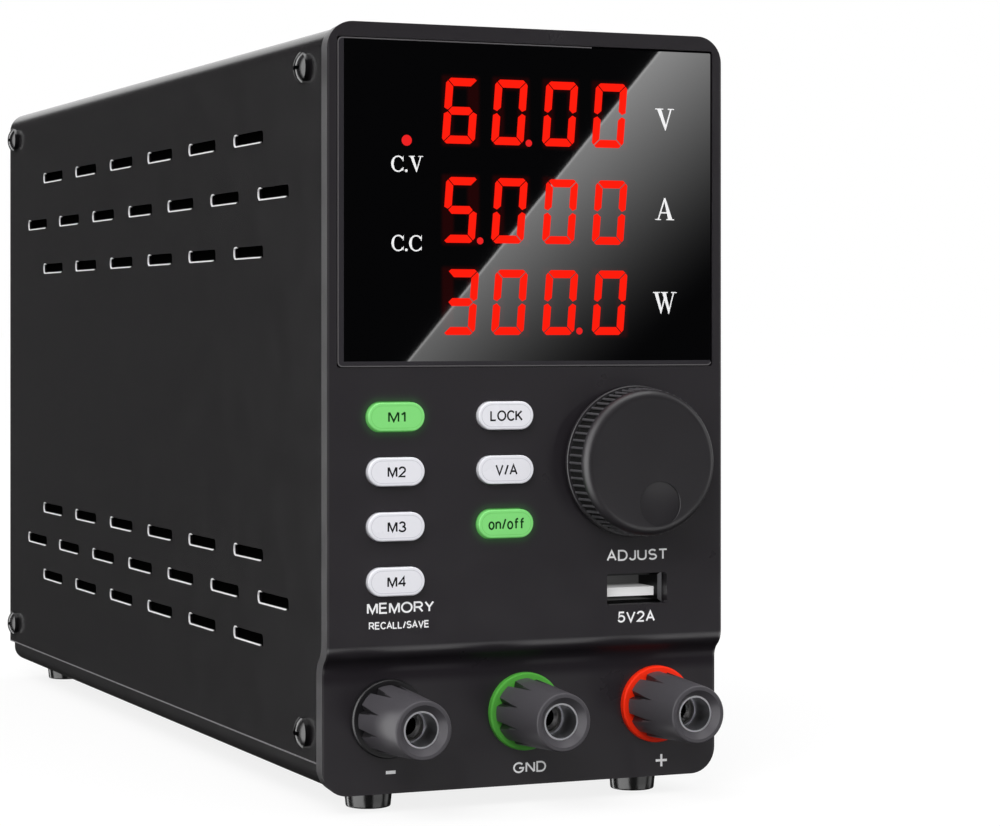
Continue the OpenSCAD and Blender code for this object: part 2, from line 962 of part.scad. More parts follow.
module encoder_body() {
    color("#9b9ea3")
    in_case()
    translate([knob_x, 0, knob_z])
        difference() {
            union() {
                plate_y(encoder_y, encoder_t)
                    round_rect(12.4, 13.2, 0.6);
                rod_y(bush_dia, bush_end, encoder_y + lap);
            }
            rod_y(shaft_dia + 2 * run_fit, bush_end - cut, chamber_y + cut);
            rod_y(chamber_dia, chamber_y, chamber_end);
        }
}

module encoder_plunger() {
    color("#e6e2d2")
    in_case()
    translate([knob_x, 0, knob_z])
        rod_y(chamber_dia - 2 * run_fit, plunger_y, plunger_y + plunger_t);
}

module encoder_shaft() {
    color("#c9ccd0")
    in_case()
    translate([knob_x, 0, knob_z])
        difference() {
            union() {
                rod_y(shaft_dia, shaft_end + lap, plunger_y - seat_gap);
                rod_y(chamber_dia - 0.8, collar_y, collar_y + collar_d);
            }
            translate([-shaft_dia, shaft_end, shaft_dia / 2 - shaft_flat])
                cube([2 * shaft_dia, bush_end - shaft_end, shaft_dia]);
        }
}

module encoder_nut() {
    color("#c9ccd0")
    in_case()
    translate([knob_x, 0, knob_z])
        difference() {
            union() {
                rod_y(13, -0.6, -seat);
                plate_y(-2.8, 2.3)
                    circle(d = 11.6, $fn = 6);
            }
            rod_y(bush_dia + 2 * thread_gap, -10, cut);
        }
}

module adjust_knob() {
    skirt = knob_dia / 2 - 0.5;
    face = knob_dia / 2 - 0.7;
    edge = 1.5;
    flange_y = -knob_gap - 1.1;
    hollow_dia = 23;
    hollow_y = bush_end - push_travel - 0.3;
    flute_dia = 1;
    flute_y = edge + 0.3 - knob_reach;
    dimple_dia = 9.2;
    dish_dia = dimple_dia - 0.4;
    dimple_wall = 0.3;
    dimple_r = 13;
    dimple_x = 2;
    dimple_drop = 8.5;
    color("#302f31")
    in_case()
    translate([knob_x, 0, knob_z])
        difference() {
            turned_y()
                difference() {
                    union() {
                        polygon([[0, -knob_reach], [face - edge, -knob_reach],
                            [face, edge - knob_reach], [skirt, flange_y],
                            [knob_dia / 2, flange_y], [knob_dia / 2, -knob_gap],
                            [0, -knob_gap]]);
                        translate([face - edge, edge - knob_reach])
                            circle(edge);
                    }
                    translate([-far, -far / 2])
                        square([far, far]);
                }
            for (i = [0 : knob_flutes - 1])
                rotate([0, i * 360 / knob_flutes, 0])
                    translate([skirt + flute_dia / 8, 0, 0])
                        rod_y(flute_dia, flute_y, flange_y);
            translate([dimple_x, dimple_wall - knob_reach, -dimple_drop]) {
                rod_y(dimple_dia, -cut, 0);
                translate([0, -sqrt(dimple_r * dimple_r - dish_dia * dish_dia / 4), 0])
                    sphere(dimple_r, $fn = 64);
            }
            rod_y(hollow_dia, hollow_y, cut);
            difference() {
                rod_y(shaft_dia + 2 * press_gap, shaft_end, cut);
                translate([-shaft_dia, shaft_end - cut, shaft_dia / 2 - shaft_flat + press_gap])
                    cube([2 * shaft_dia, far, shaft_dia]);
            }
        }
}

// Socket shell behind the front wall, flared at its mouth, with the plastic tongue in its lower half
usb_mouth = seat_y;
usb_skin = 0.3;
flare_len = 0.7;

module usb_shell() {
    color("#b6b8bb")
    in_case()
    translate([usb_x, 0, usb_z])
        difference() {
            union() {
                plate_y(usb_mouth, usb_len)
                    round_rect(usb_w, usb_h, 0.4);
                flare(usb_w, usb_h);
            }
            plate_y(usb_mouth - cut, usb_len + cut - usb_skin)
                square([usb_w - 2 * usb_skin, usb_h - 2 * usb_skin], center = true);
            flare(usb_w - 2 * usb_skin, usb_h - 2 * usb_skin);
        }
}

// Mouth that widens towards the front: two wedge-shaped prisms, one per direction, cut by each other
module flare(w, h) {
    intersection() {
        translate([0, 0, -far / 2])
            linear_extrude(far)
                flare_side(w);
        rotate([0, 90, 0])
            translate([0, 0, -far / 2])
                linear_extrude(far)
                    flare_side(h);
    }
}

module flare_side(w) {
    polygon([[-w / 2 - usb_flare, usb_mouth], [w / 2 + usb_flare, usb_mouth],
        [w / 2, usb_mouth + flare_len], [-w / 2, usb_mouth + flare_len]]);
}

module usb_tongue() {
    inner_w = usb_w - 2 * (usb_skin + seat);
    inner_h = usb_h - 2 * (usb_skin + seat);
    block_t = 4;
    tongue_w = 11.2;
    tongue_t = 1.84;
    tongue_in = 1.2;
    color("#f1f1f1")
    in_case()
    translate([usb_x, usb_mouth, usb_z]) {
        plate_y(usb_len - usb_skin - seat - block_t, block_t)
            square([inner_w, inner_h], center = true);
        translate([-tongue_w / 2, tongue_in, 0.7 - inner_h / 2])
            cube([tongue_w, usb_len - block_t, tongue_t]);
    }
}

module usb_board() {
    color("#1c5a38")
    in_case()
    translate([usb_x - usb_board_w / 2, usb_mouth + flare_len + 0.2, usb_board_z])
        cube([usb_board_w, usb_board_len, board_t]);
}

// Binding posts, drawn with distances measured outwards from the terminal face
module post_places() {
    for (i = [-1 : 1])
        translate([i * post_pitch, 0, post_z])
            children();
}

module at_post(i) {
    in_case()
    translate([i * post_pitch, terminal_y, post_z])
        mirror([0, 1, 0])
            children();
}

module post_ring(i, shade) {
    color(shade)
    at_post(i)
        difference() {
            union() {
                rod_y(ring_dia, 0, ring_t - ring_edge);
                rod_y(ring_dia, ring_t - ring_edge, ring_t, ring_dia - 2 * ring_edge);
                plate_y(0.4 - bezel_wall, bezel_wall)
                    post_key(spigot_key_dia);
            }
            rod_y(stud_dia + 0.2, -far, far);
        }
}

// Round key with a flat below, which stops the post from turning in the bezel
module post_key(d) {
    intersection() {
        circle(d = d);
        translate([-d, 0.6 - d / 2])
            square(2 * d);
    }
}

module post_stud(i) {
    color("#cfcbb8")
    at_post(i)
        difference() {
            union() {
                rod_y(stud_dia, terminal_y - stud_tail, stud_end);
                rod_y(collar_dia, ring_t, ring_t + collar_t);
            }
            rod_y(socket_dia, stud_end - socket_len, stud_end + cut);
            rod_y(socket_dia, stud_end - mouth, stud_end + 0.01, socket_dia + 2 * mouth);
        }
}

module post_washer(i) {
    washer_y = ring_t + collar_t + seat_gap;
    color("#d8d8d8")
    at_post(i)
        difference() {
            rod_y(collar_dia + 0.2, washer_y, washer_y + washer_t);
            rod_y(stud_dia + 2 * run_fit, 0, far);
        }
}

module post_sleeve(i) {
    color("#d3d4d6")
    at_post(i)
        difference() {
            rod_y(sleeve_dia, sleeve_start, post_len - sleeve_sunk);
            rod_y(stud_dia + 2 * run_fit, 0, far);
            rod_y(sleeve_bore, stud_end + 1, far);
        }
}

// Cap: tapered body with notches cut up from its base and a sunk face round the sleeve
module post_cap(i) {
    base_y = ring_t + cap_gap;
    skirt_r = collar_dia / 2 + 0.3;
    dish = 1.4;
    taper = (cap_base_dia - cap_face_dia) / 2 / (post_len - base_y);
    notch_tilt = atan(notch_depth / notch_len - taper);
    notch_over = 2;
    color("#262527")
    at_post(i)
        difference() {
            turned_y()
                polygon([[sleeve_dia / 2 + press_gap, sleeve_start], [skirt_r, sleeve_start],
                    [skirt_r, base_y], [cap_base_dia / 2, base_y],
                    [cap_base_dia / 2, base_y + 1.2],
                    [cap_face_dia / 2, post_len - 0.5], [cap_face_dia / 2 - 0.5, post_len],
                    [cap_face_dia / 2 - 0.9, post_len],
                    [sleeve_dia / 2 + press_gap, post_len - dish]]);
            for (k = [0 : cap_notches - 1])
                rotate([0, k * 360 / cap_notches, 0])
                    translate([cap_base_dia / 2 - notch_depth, base_y, 0])
                        rotate([0, 0, -notch_tilt])
                            plate_y(-cut, cut + notch_len + notch_over)
                                polygon([[0, 0], [notch_over * notch_depth, notch_over * notch_w / 2],
                                    [notch_over * notch_depth, -notch_over * notch_w / 2]]);
        }
}

module post_nuts() {
    color("#c9c4ae")
    in_case()
    post_places() {
        lug_y = terminal_y + bezel_wall + seat;
        lug_w = 4;
        lug_h = 14;
        difference() {
            union() {
                rod_y(nut_dia - 0.5, lug_y, lug_y + lug_t);
                translate([-lug_w / 2, lug_y, 0])
                    cube([lug_w, lug_t, lug_h]);
            }
            rod_y(stud_dia + 2 * thread_gap, 0, far);
            translate([0, 0, lug_h - 2.5])
                rod_y(1.6, 0, far);
        }
        difference() {
            plate_y(lug_y + lug_t + seat, nut_t)
                circle(d = nut_dia, $fn = 6);
            rod_y(stud_dia + 2 * thread_gap, 0, far);
        }
    }
}

module negative_ring() {
    post_ring(-1, "#1b1a1c");
}

module ground_ring() {
    post_ring(0, "#4aa339");
}

module positive_ring() {
    post_ring(1, "#e8300f");
}

module negative_stud() {
    post_stud(-1);
}

module ground_stud() {
    post_stud(0);
}

module positive_stud() {
    post_stud(1);
}

module negative_washer() {
    post_washer(-1);
}

module ground_washer() {
    post_washer(0);
}

module positive_washer() {
    post_washer(1);
}

module negative_sleeve() {
    post_sleeve(-1);
}

module ground_sleeve() {
    post_sleeve(0);
}

module positive_sleeve() {
    post_sleeve(1);
}

module negative_cap() {
    post_cap(-1);
}

module ground_cap() {
    post_cap(0);
}

module positive_cap() {
    post_cap(1);
}

// Fan: frame with a duct, struts and bearing tube; rotor with cambered blades
fan_y = rear_y - sheet_t - fan_t;
fan_z = case_h - fan_top;
fan_pitch = fan_w - 2 * fan_hole_side;
duct_dia = fan_w - 2 * fan_wall;
hub_dia = 0.45 * fan_w;
spindle_dia = 3;
bearing_dia = 8;
strut_t = 3;
fan_screw_dia = 3.8;
fan_screw_len = 12;

module fan_frame() {
    color("#1a1a1b")
    in_case()
    translate([0, 0, fan_z]) {
        difference() {
            plate_y(fan_y, fan_t)
                round_rect(fan_w, fan_w, 3.5);
            rod_y(duct_dia, fan_y - cut, rear_y);
            four(fan_pitch / 2, fan_pitch / 2)
                rod_y(fan_screw_dia + 2 * thread_gap, fan_y - cut, rear_y);
        }
        difference() {
            union() {
                rod_y(hub_dia, fan_y + fan_t - strut_t, fan_y + fan_t);
                rod_y(bearing_dia, fan_y + 5, fan_y + fan_t - 1);
                for (a = [20, 110, 200, 290])
                    rotate([0, a, 0])
                        translate([hub_dia / 2 - cut, fan_y + fan_t - strut_t, -strut_t / 2])
                            cube([(duct_dia - hub_dia) / 2 + 2 * cut, strut_t, strut_t]);
            }
            rod_y(spindle_dia + 2 * run_fit, fan_y, fan_y + fan_t - 0.8);
        }
    }
}

module fan_rotor() {
    tip_r = duct_dia / 2 - 0.8;
    depth = fan_t - strut_t - 2;
    front = fan_y + 0.8;
    hub_wall = 1.5;
    color("#232324")
    in_case()
    translate([0, 0, fan_z]) {
        difference() {
            rod_y(hub_dia, front, front + depth);
            rod_y(hub_dia - 2 * hub_wall, front + hub_wall, front + depth + cut);
        }
        rod_y(spindle_dia, front + lap, fan_y + fan_t - 1.4);
        intersection() {
            difference() {
                rod_y(2 * tip_r, front, front + depth);
                rod_y(hub_dia - hub_wall, front - cut, front + depth + cut);
            }
            for (i = [0 : fan_blades - 1])
                rotate([0, i * 360 / fan_blades, 0])
                    fan_blade(front + depth / 2);
        }
    }
}

// One blade: a piece of a thin tube lying along its radius, which gives it camber
module fan_blade(y) {
    camber_dia = 0.6 * fan_w;
    blade_t = 1.3;
    chord = 0.3 * fan_w;
    pitch_angle = 48;
    translate([0, y, 0])
        rotate([-pitch_angle, 0, 0])
            intersection() {
                translate([0, 0, cut - camber_dia / 2])
                    difference() {
                        rod_x(camber_dia, 5, fan_w);
                        rod_x(camber_dia - 2 * blade_t, 4, fan_w + cut);
                    }
                translate([0, -chord / 2, -chord / 4])
                    cube([fan_w, chord, chord / 2]);
            }
}

module fan_screws() {
    color("#1d1d1f")
    in_case()
    translate([0, 0, fan_z])
        four(fan_pitch / 2, fan_pitch / 2)
            translate([0, rear_y + seat, 0])
                rotate([0, 0, 90])
                    pan_screw_x(fan_screw_dia, 7.2, 1.9, fan_screw_len);
}

// Mains inlet: three-pin socket above, fuse drawer below
socket_depth = 16;
socket_bevel = 5;
inlet_lip = 2;
inlet_len = 24;
inlet_w = socket_w + 2 * inlet_rim;
inlet_h = socket_h + drawer_h + 16.6;
socket_z = inlet_z + inlet_h / 2 - inlet_lip - 3.8 - socket_h / 2;
drawer_z = inlet_z - inlet_h / 2 + inlet_lip + 1 + drawer_h / 2;
fuse_dia = 5;
fuse_len = 20;
fuse_in = 2;
pin_pitch = 14;
pin_t = 2;
pin_h = 4;

module socket_outline() {
    w = socket_w / 2;
    h = socket_h / 2;
    polygon([[-w, -h], [w, -h], [w, h - socket_bevel], [w - socket_bevel, h], [socket_bevel - w, h],
        [-w, h - socket_bevel]]);
}

module mains_inlet() {
    color("#17171a")
    in_case()
    difference() {
        translate([inlet_x, 0, inlet_z]) {
            plate_y(rear_y + seat, inlet_flange)
                round_rect(inlet_w, inlet_h, 2.5);
            plate_y(rear_y - inlet_len, inlet_len + lap)
                square([inlet_w - 2 * inlet_lip, inlet_h - 2 * inlet_lip], center = true);
        }
        translate([inlet_x, 0, socket_z])
            plate_y(rear_y + inlet_flange - socket_depth, socket_depth + cut)
                socket_outline();
        translate([inlet_x, 0, drawer_z])
            plate_y(rear_y + inlet_flange - drawer_len - 2 * drawer_gap, drawer_len + 2)
                square([drawer_w + 2 * drawer_gap, drawer_h + 2 * drawer_gap], center = true);
        pin_places()
            plate_y(rear_y - inlet_len - cut, inlet_len)
                square([pin_t + 2 * press_gap, pin_h + 2 * press_gap], center = true);
    }
}

module pin_places() {
    for (p = [[-pin_pitch / 2, -pin_h / 2], [pin_pitch / 2, -pin_h / 2], [0, pin_h / 2]])
        translate([inlet_x + p[0], 0, socket_z + p[1]])
            children();
}

module inlet_pins() {
    color("#c9c9cc")
    in_case()
    pin_places()
        plate_y(rear_y - inlet_len - 5, inlet_len + 5 + inlet_flange - 2)
            square([pin_t, pin_h], center = true);
}

module fuse_drawer() {
    front = rear_y + inlet_flange;
    tray_slot_w = fuse_dia + 1;
    tray_slot_len = fuse_len + 0.8;
    color("#202023")
    in_case()
    translate([inlet_x, 0, drawer_z])
        difference() {
            union() {
                plate_y(front - drawer_len, drawer_len + lap)
                    square([drawer_w, drawer_h], center = true);
                plate_y(front + seat_gap, drawer_lip - seat_gap)
                    round_rect(drawer_w + 2, drawer_h + 2, 1);
            }
            translate([-tray_slot_w / 2, front - fuse_in - fuse_len - 0.4, -0.6 - fuse_dia / 2])
                cube([tray_slot_w, tray_slot_len, drawer_h]);
            translate([0, 0, -drawer_h / 2 - 1.6])
                rod_y(8, front - 0.8, front + 3);
        }
}

module mains_fuse() {
    color("#d5d7d2")
    in_case()
    translate([inlet_x, rear_y + inlet_flange - fuse_in, drawer_z - 0.4])
        rod_y(fuse_dia, -fuse_len, 0);
}

module switch_frame() {
    color("#17171a")
    in_case()
    translate([switch_x, 0, switch_z])
        difference() {
            union() {
                plate_y(rear_y + seat, switch_flange_t)
                    round_rect(switch_flange_w, switch_flange_h, 1.2);
                plate_y(rear_y - switch_depth, switch_depth + lap)
                    square([switch_body_w, switch_body_h], center = true);
            }
            plate_y(pivot_y - rocker_half, far)
                square([switch_body_w - 2 * switch_wall, switch_body_h - 2 * switch_wall], center = true);
            translate([0, pivot_y, 0])
                rod_x(rocker_pin_dia + 2 * run_fit, -switch_body_w / 2 + 0.05, switch_body_w / 2 - 0.05);
        }
}

// Rocker with a V-shaped face, drawn level and then tipped to its on position.
// Its ends slope so that each stands parallel to the frame's wall when that end is pressed.
module switch_rocker() {
    tip = rocker_swing / 2;
    tip_y = rocker_top + rocker_tip * tan(tip);
    root = 3;
    foot = (rocker_half - root * sin(tip)) / cos(tip);
    waist = rocker_half / cos(tip);
    color("#1f1f22")
    in_case()
    translate([switch_x, pivot_y, switch_z])
        rotate([-tip, 0, 0]) {
            across_x(rocker_w)
                polygon([[rocker_top, 0], [tip_y, rocker_tip], [0, waist], [-root, foot],
                    [-root, -foot], [0, -waist], [tip_y, -rocker_tip]]);
            rod_x(rocker_pin_dia, -rocker_w / 2 - rocker_pin_len, rocker_w / 2 + rocker_pin_len);
        }
}

// Voltage selector: a recessed slider in a flanged body
selector_body_w = 23;
selector_body_h = 10;
selector_slot_w = 13;
selector_slot_h = 6;
selector_flange_t = 1.2;
selector_depth = 9;
slot_depth = 5;
slider_w = selector_slot_w - selector_travel - 0.4;

module selector_body() {
    color("#17171a")
    in_case()
    translate([switch_x, 0, selector_z])
        difference() {
            union() {
                plate_y(rear_y + seat, selector_flange_t)
                    round_rect(selector_body_w + 3, selector_body_h + 3, 1);
                plate_y(rear_y - selector_depth, selector_depth + lap)
                    square([selector_body_w, selector_body_h], center = true);
            }
            plate_y(rear_y - slot_depth, 2 * slot_depth)
                square([selector_slot_w, selector_slot_h], center = true);
        }
}

module selector_slider() {
    color("#b3201c")
    in_case()
    translate([switch_x - selector_travel / 2, 0, selector_z])
        difference() {
            plate_y(rear_y - slot_depth + end_gap, slot_depth + selector_flange_t - 0.5)
                square([slider_w, selector_slot_h - 0.3], center = true);
            plate_y(rear_y - 0.4, slot_depth)
                square([1.2, selector_slot_h + 1], center = true);
        }
}

module main_board() {
    color("#1c5a38")
    in_case()
    difference() {
        translate([-main_w / 2, main_front, main_z + seat])
            cube([main_w, main_rear - main_front, board_t - seat]);
        for (sx = [-1, 1], y = main_boss_ys)
            translate([sx * main_boss_x, y, 0])
                cylinder(d = small_screw + 0.4, h = far);
    }
}

// Parts on the main board, in order from the front: capacitors, then transformer beside the heatsink
stand_z = main_top + seat;
smoother_dia = 22;
smoother_h = 38;
smoother_y = main_front + 44;
heatsink_y = smoother_y + smoother_dia / 2 + 5;
heatsink_len = main_rear - heatsink_y - 30;
heatsink_h = 0.39 * case_h;
heatsink_t = 4;
fin_len = 0.21 * main_w;
fin_t = 1.6;
fin_count = 8;
heatsink_x = main_w / 2 - heatsink_t - fin_len;
core_w = 0.52 * main_w;
core_t = 16;
core_h = 34;
limb_w = 8;
yoke_w = 6;
bobbin_t = 3.5;

// Transformer: core with two windows, wound middle limb and the bobbin's foot
module transformer() {
    window_gap_w = (core_w - 2 * yoke_w - limb_w) / 2;
    color("#c9a13c")
    in_case()
    translate([2 + (core_w - main_w) / 2, heatsink_y + heatsink_len / 3, stand_z]) {
        translate([-core_w / 2, -core_t / 2, bobbin_t - lap])
            difference() {
                cube([core_w, core_t, core_h]);
                for (x = [yoke_w, core_w - yoke_w - window_gap_w])
                    translate([x, -cut, yoke_w])
                        cube([window_gap_w, core_t + 2 * cut, core_h - 2 * yoke_w]);
            }
        translate([0, 0, bobbin_t - lap + core_h / 2])
            intersection() {
                cylinder(d = 0.8 * core_w, h = core_h - 2 * yoke_w - 0.4, center = true);
                cube([core_w - 2 * yoke_w - 0.2, core_w, core_h], center = true);
            }
        translate([-0.45 * core_w, -0.35 * core_w, 0])
            cube([0.9 * core_w, 0.7 * core_w, bobbin_t]);
    }
}

// Smoothing capacitors: can with a rolled groove near the foot and a sunk top
module bulk_capacitors() {
    r = smoother_dia / 2;
    groove = 0.7;
    groove_z = 3.8;
    color("#2b3350")
    in_case()
    for (i = [0, 1])
        translate([3 + r - main_w / 2 + i * (smoother_dia + 2), smoother_y, stand_z])
            rotate_extrude()
                polygon([[0, 0], [r - 0.5, 0], [r, 0.6], [r, groove_z - 0.8], [r - groove, groove_z],
                    [r, groove_z + 0.8], [r, smoother_h - 0.5], [r - 0.8, smoother_h + 0.5],
                    [r - 3, smoother_h + 0.5], [r - 3, smoother_h], [0, smoother_h]]);
}

module heatsink() {
    fin_pitch = (heatsink_h - fin_t) / fin_count;
    color("#8f9296")
    in_case()
    plate_y(heatsink_y, heatsink_len) {
        translate([heatsink_x, stand_z])
            square([heatsink_t, heatsink_h]);
        for (i = [1 : fin_count])
            translate([heatsink_x + heatsink_t - lap, stand_z + i * fin_pitch])
                square([fin_len, fin_t]);
    }
}

module power_transistors() {
    package = [5, 16, 21];
    lead = [0.7, 1.2, 4.5];
    lead_pitch = 5.2;
    tab_hole = 3.6;
    color("#1c1c1e")
    in_case()
    for (i = [0 : 3])
        translate([heatsink_x - seat, heatsink_y + (i + 0.5) * heatsink_len / 4, stand_z + lead[2] - lap])
            mirror([1, 0, 0])
                difference() {
                    union() {
                        translate([0, -package[1] / 2, 0])
                            cube(package);
                        for (k = [-1 : 1])
                            translate([2, k * lead_pitch - lead[1] / 2, lap - lead[2]])
                                cube(lead);
                    }
                    translate([0, 0, package[2] - 5])
                        rod_x(tab_hole, -cut, 2 * package[0]);
                }
}

front_bezel();
display_window();
cover_shell();
chassis_tray();
rubber_feet();
cover_screws();
board_screws();
front_board();
voltage_digits();
current_digits();
power_digits();
mode_lamps();
tact_switches();
key_m1();
key_m2();
key_m3();
key_m4();
key_lock();
key_display();
key_output();
encoder_body();
encoder_plunger();
encoder_shaft();
encoder_nut();
adjust_knob();
usb_shell();
usb_tongue();
usb_board();
negative_ring();
negative_stud();
negative_washer();
negative_sleeve();
negative_cap();
ground_ring();
ground_stud();
ground_washer();
ground_sleeve();
ground_cap();
positive_ring();
positive_stud();
positive_washer();
positive_sleeve();
positive_cap();
post_nuts();
fan_frame();
fan_rotor();
fan_screws();
mains_inlet();
inlet_pins();
fuse_drawer();
mains_fuse();
switch_frame();
switch_rocker();
selector_body();
selector_slider();
main_board();
transformer();
bulk_capacitors();
heatsink();
power_transistors();
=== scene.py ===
import json
from math import copysign, cos, dist, hypot, pi, radians, sin, tan

import bmesh
import bpy
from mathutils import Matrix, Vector


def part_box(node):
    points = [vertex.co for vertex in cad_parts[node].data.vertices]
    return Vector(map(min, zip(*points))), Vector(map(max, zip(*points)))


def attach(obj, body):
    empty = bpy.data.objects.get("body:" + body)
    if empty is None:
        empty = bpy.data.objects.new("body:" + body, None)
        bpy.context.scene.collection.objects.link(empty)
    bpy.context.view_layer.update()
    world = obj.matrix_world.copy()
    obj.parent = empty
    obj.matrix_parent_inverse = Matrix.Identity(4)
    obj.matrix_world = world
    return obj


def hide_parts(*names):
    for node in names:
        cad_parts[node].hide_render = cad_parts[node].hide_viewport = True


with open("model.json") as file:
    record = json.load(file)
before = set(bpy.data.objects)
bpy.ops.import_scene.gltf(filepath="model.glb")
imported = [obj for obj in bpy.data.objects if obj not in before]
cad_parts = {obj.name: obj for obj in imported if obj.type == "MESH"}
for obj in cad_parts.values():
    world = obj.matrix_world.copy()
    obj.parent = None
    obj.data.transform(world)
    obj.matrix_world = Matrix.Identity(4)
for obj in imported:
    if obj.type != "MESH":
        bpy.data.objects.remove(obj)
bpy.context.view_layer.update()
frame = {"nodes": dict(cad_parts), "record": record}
nodes = frame["nodes"]
mm = 0.001

# The case's own axes, in millimetres: x across from the middle, y back from the bezel's face,
# z up from its underside
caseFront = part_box("front_bezel")[0].y
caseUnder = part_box("front_bezel")[0].z


def onCase(x, y, z):
    return Vector((x * mm, caseFront + y * mm, caseUnder + z * mm))


def inCase(point):
    return Vector((point.x / mm, (point.y - caseFront) / mm, (point.z - caseUnder) / mm))


def caseBox(node):
    low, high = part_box(node)
    return inCase(low), inCase(high)


def middle(node):
    low, high = caseBox(node)
    return (low + high) / 2


photoCamera = {
    "place": (-240.4, -542.7, 93.0),
    "heading": -23.34,
    "lens": 104.5,
    "shift": (-0.0018, -0.081),
}


def newMesh(name, points, faces=()):
    mesh = bpy.data.meshes.new(name)
    mesh.from_pydata(points, [], faces)
    return mesh


def newObject(name, data):
    made = bpy.data.objects.new(name, data)
    bpy.context.collection.objects.link(made)
    return made


def makeCamera(s):
    data = bpy.data.cameras.new("photoCamera")
    data.sensor_width = 36
    data.lens = s["lens"]
    data.shift_x, data.shift_y = s["shift"]
    data.clip_start = 0.01
    camera = newObject("photoCamera", data)
    camera.location = onCase(*s["place"])
    camera.rotation_euler = (radians(90), 0, radians(s["heading"]))
    bpy.context.scene.camera = camera


makeCamera(photoCamera)
bpy.context.scene.view_settings.view_transform = "Standard"


linkable = (bpy.types.Node, bpy.types.NodeSocket)


def join(tree, source, target):
    tree.links.new(source.outputs[0] if isinstance(source, bpy.types.Node) else source, target)


# A kind without Node in its name is one of the tree's own kinds. Inputs are given by name, or by
# number as i0, i1, and each is a value, another node's output, or a node for its first output.
def add(tree, kind, settings=None, **inputs):
    prefix = "" if "Node" in kind else "GeometryNode" if tree.type == "GEOMETRY" else "ShaderNode"
    node = tree.nodes.new(prefix + kind)
    for key, value in (settings or {}).items():
        setattr(node, key, value)
    for key, value in inputs.items():
        key = key.replace("_", " ")
        socket = node.inputs[int(key[1:])] if key[0] == "i" and key[1:].isdigit() else node.inputs[key]
        if isinstance(value, linkable):
            join(tree, value, socket)
        else:
            socket.default_value = value
    return node


# The tree of the first value that is in one
def treeOf(*values):
    return next(value.id_data for value in values if isinstance(value, linkable))


def calc(operation, *values):
    inputs = {f"i{k}": value for k, value in enumerate(values)}
    return add(treeOf(*values), "ShaderNodeMath", {"operation": operation}, **inputs)


def minus(a, b):
    return calc("SUBTRACT", a, b)


def times(first, *others):
    for other in others:
        first = calc("MULTIPLY", first, other)
    return first


def fade(value, low, high, atLow=0.0, atHigh=1.0):
    return add(treeOf(value), "MapRange", {"interpolation_type": "SMOOTHSTEP"}, Value=value,
               From_Min=low, From_Max=high, To_Min=atLow, To_Max=atHigh)


def axesOf(tree, source="Object"):
    place = add(tree, "TexCoord").outputs[source]
    return add(tree, "SeparateXYZ", i0=place).outputs


def directRays(tree):
    path = add(tree, "LightPath").outputs
    return path, calc("MAXIMUM", path["Is Camera Ray"], path["Is Transmission Ray"])


studio = {
    "softLight": 0.95,
    "lamps": {"keyLight": ((-0.75, -0.95, 1.05), 11.0), "sideLight": ((0.9, -0.5, 0.9), 2.4)},
    "lampSize": 0.9,
    "lampsAim": (0, 0, 0.08),
    "floorFrom": (-30.0, -2.2),
    "floorTo": (30.0, 60.0),
    "floorTone": 0.17,
    "floorWhite": 0.84,
    "dark": 0.03,
    "brightest": 9.0,
    # What shiny surfaces mirror: heading from, to and softness, height from, to and softness, strength.
    # Headings are degrees from the back towards the right, heights degrees above the horizon.
    "areas": (
        (-4, 58, 2, -4, 62, 6, 1.0),       # white backdrop
        (-72, -4, 4, -75, 60, 6, 0.03),    # dim wall left of it, for the cover's side
        (-39, -27, 1.5, -60, 60, 6, 4.4),  # narrow lamp, for the leaning side of the bezel's rim
        (124, 176, 5, -42, -16, 4, 1.9),   # light from low in front, for what curves under
        (-138, -74, 5, -35, 45, 6, 4.3),   # lamp on the left
        (84, 112, 5, -20, 45, 6, 1.3),     # lamp on the right
    ),
    "topBox": (52, 64, 3.2),
    "frontFill": (-176, -140, 6, -30, 40, 8, 0.12),
    # The lit card that the window mirrors: slanting end, its bright line, tones, share mirrored, extent
    "cardEdge": (0.4030, 0.875),
    "cardLine": (0.0006, 0.0011, 55.0),
    "cardTone": (522.0, -1038.0, 1235.0),
    "cardGamma": 2.2,
    "cardShare": 0.0425,
    "cardAcross": (0.2, 0.62, 0.01),
    "cardUp": (-0.08, 0.15, 0.01),
    "cardAhead": -0.1,
}


